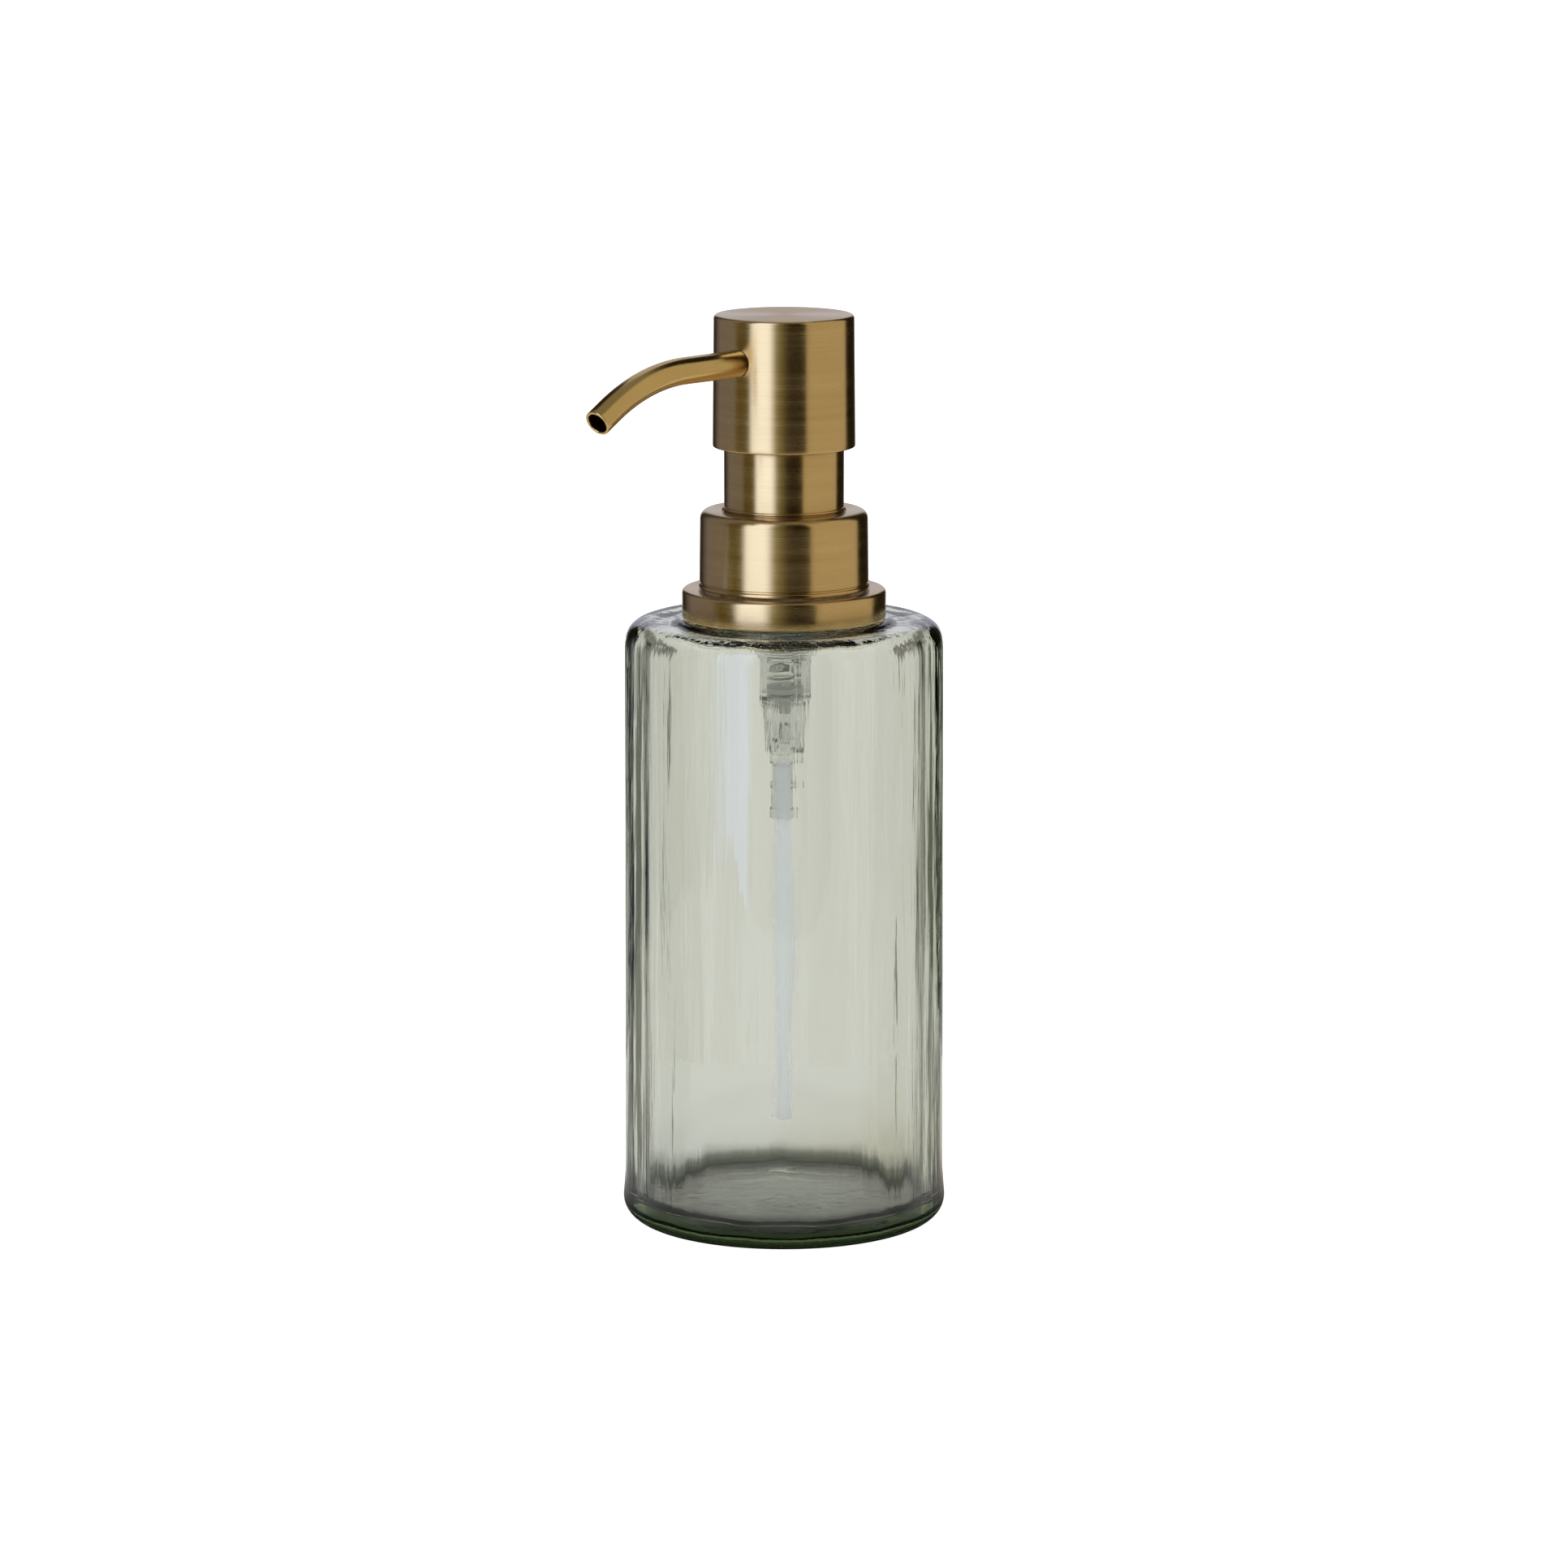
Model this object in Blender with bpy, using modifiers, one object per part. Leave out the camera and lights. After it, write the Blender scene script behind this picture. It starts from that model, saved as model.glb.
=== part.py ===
"""A fluted glass soap dispenser with a brass lotion pump, every piece its own object.

The origin is the centre of the bottle's flat underside, +Z is up, and the spout points along -Y.
Lengths are in metres.
"""

import math

import bmesh
import bpy
from mathutils import Matrix

MM = 0.001

# Clearances
GAP = 0.3 * MM            # between pieces that touch
RUN = 0.4 * MM            # between pieces that slide or turn on each other
END_STOP = 0.5 * MM       # left under the head when it is pressed fully down

# Bottle
BODY_R = 33.3 * MM        # over the ridges between the flutes, at the heel
BODY_DRAFT = 0.3 * MM     # how much slimmer the body is at its shoulder
BODY_H = 124.5 * MM
FLUTES = 12
FLUTE_DEPTH = 1.2 * MM
INNER_FLUTE_DEPTH = 0.9 * MM
FLUTE_TURN = math.radians(11)
RIDGE_ROUNDING = 0.22
WALL = 4.4 * MM
FLOOR_T = 5.5 * MM
CEILING_T = 4.4 * MM
HEEL_R = 6.5 * MM
SHOULDER_R = 5.4 * MM
INNER_CORNER_R = 3.0 * MM
NECK_R = 13.75 * MM       # over the thread of a 28 mm neck
NECK_BORE_R = 9.4 * MM
NECK_H = 16.9 * MM
NECK_FILLET_R = 4.0 * MM
SHOULDER_FADE = 6.0 * MM  # width of the ring of shoulder in which the flutes run out

# Brass ring on the shoulder
RING_SHOW = 3.4 * MM      # how far it stands out past the shell above it
RING_H = 5.8 * MM
RING_SHEET = 1.0 * MM
RING_BEVEL = 0.6 * MM
RING_SEAT_RISE = 0.5 * MM
RING_FIT = 0.6 * MM       # round the neck

# Stack on the lip
GASKET_T = 1.0 * MM
FLANGE_T = 1.2 * MM
FLANGE_INSET = 0.55 * MM  # from the neck's outside to the flange's edge
PLATE_GRIP = 0.65 * MM    # how far the cap's plate reaches in over the flange
CAP_PLATE_T = 1.4 * MM
CAP_WALL = 1.9 * MM
CAP_SKIRT_LIFT = 0.5 * MM
THREAD_FIT = 0.35 * MM    # between the neck and the cap that screws on it

# Brass shells
SHELL_SHEET = 0.6 * MM
SHELL_PLATE_T = 0.7 * MM
SHELL_FIT = 0.4 * MM      # round the top of the cap
SHELL_DRAFT = 0.3 * MM    # how much wider the shell is at its foot
SHELL_CORNER_R = 1.7 * MM
SLEEVE_SHEET = 0.6 * MM
SLEEVE_OVERLAP = 2.6 * MM

# Head
STROKE = 12.0 * MM
HEAD_CLEAR = 0.9 * MM     # between the pressed head and the closure
HEAD_H = 26.7 * MM
HEAD_PLAY = 1.5 * MM      # between the head's foot and the sleeve
HEAD_DRAFT = 0.25 * MM    # how much wider the head is at its foot
HEAD_SHEET = 0.8 * MM
HEAD_PLATE_T = 1.0 * MM
HEAD_BEVEL = 0.6 * MM
SPOUT_DROP = 8.7 * MM     # from the head's top to the spout's axis
CORE_FLANGE_T = 3.2 * MM
CORE_BODY_H = 12.6 * MM   # from the flange's top to the body's underside
CORE_BOSS_H = 4.1 * MM
CORE_BOSS_WALL = 2.6 * MM # round the stem's socket
CORE_CHANNEL_R = 1.6 * MM
CORE_FIT = 0.55 * MM      # between the core and the sleeve that comes up round it
SIDE_CHANNEL_R = 1.4 * MM
STEM_SOCKET = 5.4 * MM    # how far the stem goes up into the boss

# Spout
SPOUT_R = 2.75 * MM
SPOUT_WALL = 0.6 * MM
SPOUT_ROOT = 4.6 * MM     # from the pump's axis to the tube's inner end
SPOUT_LEVEL = 30.0 * MM   # from the pump's axis to where the bend starts
SPOUT_BEND_R = 44.0 * MM
SPOUT_BEND = math.radians(30)
SPOUT_TIP = 4.2 * MM      # straight length after the bend
SEAL_WIRE_R = 0.5 * MM
SEAL_SQUEEZE = 0.15 * MM  # between the seal and the tube inside it
SEAL_PLACE = 8.3 * MM     # from the pump's axis

# Stem, rod and piston
STEM_R = 3.6 * MM
STEM_STEP = 0.4 * MM      # how much slimmer the stem is where the piston slides
STEM_BORE_R = 2.0 * MM
VALVE_SLIP = 1.0 * MM
PISTON_H = 5.8 * MM
PISTON_TOP_DEPTH = 0.3 * MM  # under the housing flange's underside
PISTON_SLOT = 1.6 * MM    # depth of the groove behind each lip
ROD_FOOT_T = 1.5 * MM
ROD_FOOT_FIT = 0.6 * MM   # between the rod's foot and the barrel
ROD_H = 13.4 * MM

# Housing
BARREL_WALL = 1.2 * MM
BARREL_DEPTH = 34.0 * MM  # under the flange's underside
TAPER_H = 11.7 * MM
TAPER_LOW_WALL = 1.6 * MM # round the chamber's radius, at the taper's foot
TAIL_WALL = 0.9 * MM      # round the dip tube
TAIL_H = 13.5 * MM
CHAMBER_H = 8.4 * MM
SEAT_H = 1.2 * MM
PASSAGE_R = 1.5 * MM
TUBE_SOCKET_H = 11.7 * MM

# Dip tube, ball, cage and spring
TUBE_R = 2.65 * MM
TUBE_WALL = 0.7 * MM
TUBE_END = 20.8 * MM      # height above the table
BALL_R = 2.3 * MM
BALL_FIT = 0.7 * MM       # round the ball in its chamber
BALL_LIFT = 1.5 * MM
CAGE_T = 1.5 * MM
CAGE_PEG_FIT = 0.5 * MM   # round the cage's peg in the ball's chamber
CAGE_HOLE_R = 1.2 * MM
SPRING_FIT = 0.75 * MM    # between the spring and the barrel
SPRING_WIRE_R = 0.45 * MM
SPRING_TURNS = 8
END_TURN_EASE = 0.6       # how much closer the end turns lie
GUIDE_WALL = 1.3 * MM
GUIDE_TUBE_WALL = 0.9 * MM
GUIDE_PLATE_T = 1.4 * MM

# Facets
BRASS_SIDES = 40
CORE_SIDES = 28
FINE_SIDES = 24
FLUTE_STEPS = 4
COIL_STEPS = 12
SPOUT_STEPS = 10

# Radii that follow from the sizes above: round the neck, up the middle, and down the housing
CAP_BORE_R = NECK_R + THREAD_FIT
CAP_R = CAP_BORE_R + CAP_WALL
SHELL_TOP_R = CAP_R + SHELL_FIT + SHELL_SHEET
SHELL_FOOT_R = SHELL_TOP_R + SHELL_DRAFT
RING_R = SHELL_FOOT_R + RING_SHOW
FLANGE_R = NECK_R - FLANGE_INSET
HOLE_R = FLANGE_R - PLATE_GRIP  # the closure's hole round the sleeve
SLEEVE_R = HOLE_R - RUN
HEAD_FOOT_R = SLEEVE_R + HEAD_PLAY + HEAD_SHEET
HEAD_TOP_R = HEAD_FOOT_R - HEAD_DRAFT
STEM_LOW_R = STEM_R - STEM_STEP
CORE_BOSS_R = STEM_R + GAP + CORE_BOSS_WALL
GUIDE_TUBE_R = STEM_R + RUN + GUIDE_TUBE_WALL
BARREL_BORE_R = GUIDE_TUBE_R + GAP
BARREL_R = BARREL_BORE_R + BARREL_WALL
ROD_R = STEM_BORE_R - GAP
ROD_FOOT_R = BARREL_BORE_R - ROD_FOOT_FIT
SPRING_R = BARREL_BORE_R - SPRING_FIT - SPRING_WIRE_R
CAGE_R = BARREL_BORE_R - RUN
CHAMBER_R = BALL_R + BALL_FIT
CAGE_PEG_R = CHAMBER_R - CAGE_PEG_FIT
TAPER_LOW_R = CHAMBER_R + TAPER_LOW_WALL
TUBE_SOCKET_R = TUBE_R + GAP
TAIL_R = TUBE_SOCKET_R + TAIL_WALL
TUBE_BORE_R = TUBE_R - TUBE_WALL

# Heights that follow from the sizes above
LIP_Z = BODY_H + NECK_H
RING_Z = BODY_H + RING_SEAT_RISE
SHELL_Z = RING_Z + RING_H + GAP
GASKET_Z = LIP_Z + GAP
FLANGE_Z = GASKET_Z + GASKET_T + GAP
GUIDE_Z = FLANGE_Z + FLANGE_T + GAP
CAP_TOP_Z = GUIDE_Z + CAP_PLATE_T
SHELL_TOP_Z = CAP_TOP_Z + GAP + SHELL_PLATE_T
HEAD_Z = SHELL_TOP_Z + HEAD_CLEAR + STROKE
HEAD_TOP_Z = HEAD_Z + HEAD_H
SPOUT_Z = HEAD_TOP_Z - SPOUT_DROP
CORE_TOP_Z = HEAD_TOP_Z - HEAD_PLATE_T - GAP
CORE_BODY_Z = CORE_TOP_Z - CORE_BODY_H
CORE_Z = CORE_BODY_Z - CORE_BOSS_H
GUIDE_H = CORE_Z - END_STOP - STROKE - GUIDE_Z
SLEEVE_H = HEAD_Z + SLEEVE_OVERLAP - GUIDE_Z
PISTON_Z = FLANGE_Z - PISTON_TOP_DEPTH - PISTON_H
ROD_Z = PISTON_Z - GAP - ROD_FOOT_T
SHELF_Z = FLANGE_Z - BARREL_DEPTH
TAIL_Z = SHELF_Z - TAPER_H - TAIL_H
SPRING_Z = SHELF_Z + GAP + CAGE_T + GAP
SPRING_H = ROD_Z - GAP - SPRING_Z
SEAT_Z = SHELF_Z - CHAMBER_H - SEAT_H


def collection(name):
    made = bpy.data.collections.new(name)
    bpy.context.scene.collection.children.link(made)
    return made


def material(name, colour, metallic=0.0, roughness=0.5, transmission=0.0):
    made = bpy.data.materials.new(name)
    made.use_nodes = True
    shader = made.node_tree.nodes["Principled BSDF"]
    shader.inputs["Base Color"].default_value = (*colour, 1.0)
    shader.inputs["Metallic"].default_value = metallic
    shader.inputs["Roughness"].default_value = roughness
    shader.inputs["Transmission Weight"].default_value = transmission
    return made


def add_object(name, data, finish, group, seat=0.0):
    """Puts a piece in the scene with its origin on the pump's axis, at the height it seats on."""
    made = bpy.data.objects.new(name, data)
    made.location = (0.0, 0.0, seat)
    if finish:
        data.materials.append(finish)
    group.objects.link(made)
    return made


def arc(centre_r, centre_z, radius, start, end, steps):
    """Points on an arc in the (radius, height) plane, from one angle in degrees to another."""
    turns = [math.radians(start + (end - start) * i / steps) for i in range(steps + 1)]
    return [(centre_r + radius * math.cos(a), centre_z + radius * math.sin(a)) for a in turns]


def turned(name, profile, finish, group, seat=0.0, sides=FINE_SIDES):
    """A turned piece. The profile runs down its outer side, and closes unless it ends on the axis."""
    mesh = bpy.data.meshes.new(name)
    points = [(radius, 0.0, height) for radius, height in profile]
    links = [(i, i + 1) for i in range(len(points) - 1)]
    if profile[0][0] > 0.0:
        links.append((len(points) - 1, 0))
    mesh.from_pydata(points, links, [])
    made = add_object(name, mesh, finish, group, seat)
    lathe = made.modifiers.new("turn", "SCREW")
    lathe.axis = "Z"
    lathe.angle = math.tau
    lathe.steps = sides
    lathe.render_steps = sides
    lathe.use_merge_vertices = True
    lathe.merge_threshold = 0.00001
    lathe.use_smooth_shade = True
    return made


def lofted(name, rows, wave, sides, finish, group, seat=0.0):
    """Rings of points joined into one skin. Each row is (radius, height, depth of its waves).

    The first and the last row lie on the axis.
    """
    shape = bmesh.new()
    angles = [math.tau * i / sides for i in range(sides)]
    rings = []
    for radius, height, depth in rows[1:-1]:
        reach = [radius - depth * wave(a) for a in angles]
        rings.append([shape.verts.new((r * math.cos(a), r * math.sin(a), height))
                      for r, a in zip(reach, angles)])
    first = shape.verts.new((0.0, 0.0, rows[0][1]))
    last = shape.verts.new((0.0, 0.0, rows[-1][1]))
    for i in range(sides):
        j = (i + 1) % sides
        shape.faces.new((first, rings[0][i], rings[0][j]))
        shape.faces.new((last, rings[-1][j], rings[-1][i]))
        for upper, lower in zip(rings, rings[1:]):
            shape.faces.new((upper[i], lower[i], lower[j], upper[j]))
    bmesh.ops.recalc_face_normals(shape, faces=shape.faces)
    mesh = bpy.data.meshes.new(name)
    shape.to_mesh(mesh)
    shape.free()
    mesh.shade_smooth()
    return add_object(name, mesh, finish, group, seat)


def side_cutter(name, radius, start, end, group):
    """A cylinder along -Y at the spout's height, from one distance from the axis to another."""
    shape = bmesh.new()
    bmesh.ops.create_cone(shape, cap_ends=True, segments=FINE_SIDES, radius1=radius, radius2=radius,
                          depth=end - start, matrix=Matrix.Rotation(math.pi / 2, 4, "X"))
    mesh = bpy.data.meshes.new(name)
    shape.to_mesh(mesh)
    shape.free()
    made = bpy.data.objects.new(name, mesh)
    made.location = (0.0, -(start + end) / 2, SPOUT_Z)
    made.hide_render = True
    made.display_type = "WIRE"
    group.objects.link(made)
    return made


def cut(piece, cutter):
    step = piece.modifiers.new(cutter.name, "BOOLEAN")
    step.operation = "DIFFERENCE"
    step.solver = "EXACT"
    step.object = cutter


def flute_wave(angle):
    """0 on a ridge and 1 in the middle of a flute, with the ridge a little rounded."""
    swing = math.cos(FLUTES / 2 * (angle - FLUTE_TURN))
    low, high = RIDGE_ROUNDING, math.hypot(1.0, RIDGE_ROUNDING)
    return (math.hypot(swing, RIDGE_ROUNDING) - low) / (high - low)


def glass_bottle(finish, group):
    top_r = BODY_R - BODY_DRAFT
    inner_r = BODY_R - WALL
    inner_top_r = top_r - WALL
    ceiling = BODY_H - CEILING_T
    edge_r = top_r - SHOULDER_R
    neck_foot_r = NECK_R + NECK_FILLET_R

    def faded(points, depth, low_r, high_r):
        """Flutes that run out towards the axis between two radii."""
        return [(r, z, depth * min(1.0, max(0.0, (r - low_r) / (high_r - low_r)))) for r, z in points]

    floor_r = inner_r - INNER_CORNER_R
    inside = arc(floor_r, FLOOR_T + INNER_CORNER_R, INNER_CORNER_R, -90, 0, 3)
    inside += arc(inner_top_r - INNER_CORNER_R, ceiling - INNER_CORNER_R, INNER_CORNER_R, 0, 90, 3)
    rows = [(0.0, FLOOR_T, 0.0)]
    rows += faded(inside, INNER_FLUTE_DEPTH, floor_r - SHOULDER_FADE, floor_r)
    throat = NECK_BORE_R + CEILING_T / 2
    rows += [(r, z, 0.0) for r, z in arc(throat, ceiling + CEILING_T / 2, CEILING_T / 2, 270, 180, 2)]
    rows += [(NECK_BORE_R, LIP_Z - RING_BEVEL, 0.0), (NECK_BORE_R + RING_BEVEL, LIP_Z, 0.0)]
    rows += [(NECK_R - RING_BEVEL, LIP_Z, 0.0), (NECK_R, LIP_Z - RING_BEVEL, 0.0)]
    seat = BODY_H + RING_SEAT_RISE - GAP
    rows += [(r, z, 0.0) for r, z in arc(neck_foot_r, seat + NECK_FILLET_R, NECK_FILLET_R, 180, 270, 3)]
    rows += [(RING_R, seat, 0.0), (RING_R + RING_SEAT_RISE, BODY_H, 0.0)]
    shoulder = arc(edge_r, BODY_H - SHOULDER_R, SHOULDER_R, 90, 0, 4)
    rows += faded(shoulder, FLUTE_DEPTH, edge_r - SHOULDER_FADE, top_r)
    heel = arc(BODY_R - HEEL_R, HEEL_R, HEEL_R, 0, -90, 4)
    rows += [(BODY_R, 2 * HEEL_R, FLUTE_DEPTH)]
    rows += [(r, z, FLUTE_DEPTH * 0.5 * (z / HEEL_R) ** 2) for r, z in heel]
    rows += [(0.0, 0.0, 0.0)]
    return lofted("glass_bottle", rows, flute_wave, FLUTES * FLUTE_STEPS, finish, group)


def base_ring(finish, group):
    bore = NECK_R + RING_FIT
    profile = [
        (bore, RING_H), (RING_R - RING_BEVEL, RING_H), (RING_R, RING_H - RING_BEVEL), (RING_R, 0.0),
        (RING_R - RING_SHEET, 0.0), (RING_R - RING_SHEET, RING_H - RING_SHEET), (bore, RING_H - RING_SHEET),
    ]
    return turned("base_ring", profile, finish, group, RING_Z, BRASS_SIDES)


def neck_gasket(finish, group):
    inner, outer = NECK_BORE_R + GAP, NECK_R - RING_BEVEL
    profile = [(inner, GASKET_T), (outer, GASKET_T), (outer, 0.0), (inner, 0.0)]
    return turned("neck_gasket", profile, finish, group, GASKET_Z, CORE_SIDES)


def pump_housing(finish, group):
    """The barrel, its flange, the taper round the ball's seat, and the tail that holds the tube."""
    shelf = -BARREL_DEPTH
    seat_top = shelf - CHAMBER_H
    seat_low = seat_top - SEAT_H
    tail_top = shelf - TAPER_H
    tail_low = tail_top - TAIL_H
    plain = [
        (BARREL_BORE_R, FLANGE_T), (FLANGE_R, FLANGE_T), (FLANGE_R, 0.0), (BARREL_R, 0.0),
        (BARREL_R, shelf), (TAPER_LOW_R, tail_top), (TAIL_R, tail_top - GAP), (TAIL_R, tail_low),
        (TUBE_SOCKET_R, tail_low), (TUBE_SOCKET_R, tail_low + TUBE_SOCKET_H),
        (PASSAGE_R, tail_low + TUBE_SOCKET_H), (PASSAGE_R, seat_low),
        (CHAMBER_R, seat_top), (CHAMBER_R, shelf), (BARREL_BORE_R, shelf),
    ]
    return turned("pump_housing", plain, finish, group, FLANGE_Z, FINE_SIDES)


def guide_collar(finish, group):
    bore = STEM_R + RUN
    outer = SLEEVE_R - SLEEVE_SHEET - GAP
    profile = [
        (bore, GUIDE_H), (outer, GUIDE_H), (outer, 0.0), (outer - GUIDE_WALL, 0.0),
        (outer - GUIDE_WALL, GUIDE_H - GUIDE_PLATE_T), (GUIDE_TUBE_R, GUIDE_H - GUIDE_PLATE_T),
        (GUIDE_TUBE_R, 0.0), (bore, 0.0),
    ]
    return turned("guide_collar", profile, finish, group, GUIDE_Z, CORE_SIDES)


def stem_sleeve(finish, group):
    profile = [(SLEEVE_R - SLEEVE_SHEET, SLEEVE_H), (SLEEVE_R, SLEEVE_H), (SLEEVE_R, 0.0),
               (SLEEVE_R - SLEEVE_SHEET, 0.0)]
    return turned("stem_sleeve", profile, finish, group, GUIDE_Z, BRASS_SIDES)


def closure_cap(finish, group):
    """The plastic cap that screws on the neck, with the plate that holds the housing's flange down."""
    height = CAP_TOP_Z - SHELL_Z - CAP_SKIRT_LIFT
    profile = [
        (HOLE_R, height), (CAP_R, height), (CAP_R, 0.0), (CAP_BORE_R, 0.0),
        (CAP_BORE_R, height - CAP_PLATE_T), (HOLE_R, height - CAP_PLATE_T),
    ]
    return turned("closure_cap", profile, finish, group, SHELL_Z + CAP_SKIRT_LIFT, CORE_SIDES)


def closure_shell(finish, group):
    height = SHELL_TOP_Z - SHELL_Z
    corner = arc(SHELL_TOP_R - SHELL_CORNER_R, height - SHELL_CORNER_R, SHELL_CORNER_R, 90, 0, 3)
    under = height - SHELL_PLATE_T
    inner_corner = SHELL_TOP_R - SHELL_SHEET
    profile = [(HOLE_R, height)] + corner + [
        (SHELL_FOOT_R, 0.0), (SHELL_FOOT_R - SHELL_SHEET, 0.0), (inner_corner, under - SHELL_SHEET),
        (inner_corner - SHELL_SHEET, under), (HOLE_R, under),
    ]
    return turned("closure_shell", profile, finish, group, SHELL_Z, BRASS_SIDES)


def stem(finish, group):
    """The hollow stem, narrower at its foot where the piston slides."""
    low = ROD_Z + ROD_FOOT_T + 2 * GAP
    top = CORE_Z + STEM_SOCKET - GAP - low
    step = PISTON_Z + PISTON_H + VALVE_SLIP + GAP - low
    profile = [(STEM_BORE_R, top), (STEM_R, top), (STEM_R, step), (STEM_LOW_R, step),
               (STEM_LOW_R, 0.0), (STEM_BORE_R, 0.0)]
    return turned("stem", profile, finish, group, low)


def piston(finish, group):
    """The sliding seal, with a lip at each end and a slot between them."""
    outer = BARREL_BORE_R - GAP
    waist = outer - GAP
    inner = STEM_LOW_R + GAP
    profile = [
        (inner, PISTON_H), (outer, PISTON_H), (waist, PISTON_H - PISTON_SLOT), (waist, PISTON_SLOT),
        (outer, 0.0), (inner, 0.0),
    ]
    return turned("piston", profile, finish, group, PISTON_Z)


def piston_rod(finish, group):
    """The rod inside the stem, whose foot takes the spring and shuts the piston."""
    profile = [(0.0, ROD_H), (ROD_R, ROD_H), (ROD_R, ROD_FOOT_T), (ROD_FOOT_R, ROD_FOOT_T),
               (ROD_FOOT_R, 0.0), (0.0, 0.0)]
    return turned("piston_rod", profile, finish, group, ROD_Z)


def ball_cage(finish, group):
    """The disc under the spring, with a peg that stops the ball's lift."""
    ball_top = ball_height() + BALL_R + BALL_LIFT
    peg = ball_top - SHELF_Z
    profile = [(CAGE_HOLE_R, CAGE_T), (CAGE_R, CAGE_T), (CAGE_R, 0.0), (CAGE_PEG_R, 0.0),
               (CAGE_PEG_R, peg), (CAGE_HOLE_R, peg)]
    return turned("ball_cage", profile, finish, group, SHELF_Z + GAP)


def ball_height():
    """Where the ball's centre lies when it rests, one gap clear, on the cone of its seat."""
    slope = math.atan2(SEAT_H, CHAMBER_R - PASSAGE_R)
    return SEAT_Z + (BALL_R + GAP - PASSAGE_R * math.sin(slope)) / math.cos(slope)


def check_ball(finish, group):
    shape = bmesh.new()
    bmesh.ops.create_icosphere(shape, subdivisions=3, radius=BALL_R)
    mesh = bpy.data.meshes.new("check_ball")
    shape.to_mesh(mesh)
    shape.free()
    mesh.shade_smooth()
    return add_object("check_ball", mesh, finish, group, ball_height())


def dip_tube(finish, group):
    height = TAIL_Z + TUBE_SOCKET_H - GAP - TUBE_END
    profile = [(TUBE_BORE_R, height), (TUBE_R, height), (TUBE_R, 0.0), (TUBE_BORE_R, 0.0)]
    return turned("dip_tube", profile, finish, group, TUBE_END)


def curve_along(name, points, radius, rounding, capped):
    """A round section swept along points, as a curve object's data."""
    curve = bpy.data.curves.new(name, "CURVE")
    curve.dimensions = "3D"
    curve.bevel_depth = radius
    curve.bevel_resolution = rounding
    curve.use_fill_caps = capped
    line = curve.splines.new("POLY")
    line.points.add(len(points) - 1)
    for spot, place in zip(line.points, points):
        spot.co = (*place, 1.0)
    return curve


def return_spring(finish, group):
    """Its two end turns lie flatter than the others, as on a spring that is ground to stand."""
    turns = [i / COIL_STEPS for i in range(SPRING_TURNS * COIL_STEPS + 1)]
    low, high = SPRING_WIRE_R, SPRING_H - SPRING_WIRE_R
    points = []
    for turn in turns:
        share = turn / SPRING_TURNS
        eased = share - END_TURN_EASE * math.sin(math.tau * share) / math.tau
        angle = math.tau * turn
        points.append((SPRING_R * math.cos(angle), SPRING_R * math.sin(angle), low + (high - low) * eased))
    curve = curve_along("return_spring", points, SPRING_WIRE_R, 2, True)
    return add_object("return_spring", curve, finish, group, SPRING_Z)


def head_shell(finish, group, cutters):
    top = HEAD_TOP_R
    under = HEAD_H - HEAD_PLATE_T
    profile = [
        (0.0, HEAD_H), (top - HEAD_BEVEL, HEAD_H), (top, HEAD_H - HEAD_BEVEL), (HEAD_FOOT_R, 0.0),
        (HEAD_FOOT_R - HEAD_SHEET, 0.0), (top - HEAD_SHEET, under), (0.0, under),
    ]
    made = turned("head_shell", profile, finish, group, HEAD_Z, BRASS_SIDES)
    cut(made, side_cutter("spout_hole", SPOUT_R + GAP, top / 2, top * 1.2, cutters))
    return made


def head_core(finish, group, cutters):
    """The moulded piece that joins the stem to the spout inside the brass head."""
    height = CORE_TOP_Z - CORE_Z
    flange_low = height - CORE_FLANGE_T
    flange_r = HEAD_TOP_R - HEAD_SHEET - GAP
    body_r = SLEEVE_R - SLEEVE_SHEET - CORE_FIT
    socket_r = STEM_R + GAP
    channel = SPOUT_Z - CORE_Z
    profile = [
        (0.0, height), (flange_r, height), (flange_r, flange_low), (body_r, flange_low),
        (body_r, CORE_BOSS_H), (CORE_BOSS_R, CORE_BOSS_H), (CORE_BOSS_R, 0.0), (socket_r, 0.0),
        (socket_r, STEM_SOCKET), (CORE_CHANNEL_R, STEM_SOCKET), (CORE_CHANNEL_R, channel), (0.0, channel),
    ]
    made = turned("head_core", profile, finish, group, CORE_Z, CORE_SIDES)
    groove_r = SPOUT_R + SEAL_SQUEEZE + 2 * SEAL_WIRE_R + SEAL_SQUEEZE
    groove_start = SEAL_PLACE - SEAL_WIRE_R - GAP
    groove_end = SEAL_PLACE + SEAL_WIRE_R + GAP
    cut(made, side_cutter("spout_socket", SPOUT_R + GAP, SPOUT_ROOT - GAP, body_r * 1.2, cutters))
    cut(made, side_cutter("spout_channel", SIDE_CHANNEL_R, 0.0, SPOUT_ROOT, cutters))
    cut(made, side_cutter("seal_groove", groove_r, groove_start, groove_end, cutters))
    return made


def spout_path():
    """The spout's axis: level, then bent down, then straight to its tip."""
    points = [(0.0, -SPOUT_ROOT, SPOUT_Z), (0.0, -SPOUT_LEVEL, SPOUT_Z)]
    for i in range(1, SPOUT_STEPS + 1):
        turn = SPOUT_BEND * i / SPOUT_STEPS
        points.append((0.0, -SPOUT_LEVEL - SPOUT_BEND_R * math.sin(turn),
                       SPOUT_Z - SPOUT_BEND_R * (1 - math.cos(turn))))
    _, y, z = points[-1]
    points.append((0.0, y - SPOUT_TIP * math.cos(SPOUT_BEND), z - SPOUT_TIP * math.sin(SPOUT_BEND)))
    return points


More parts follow.
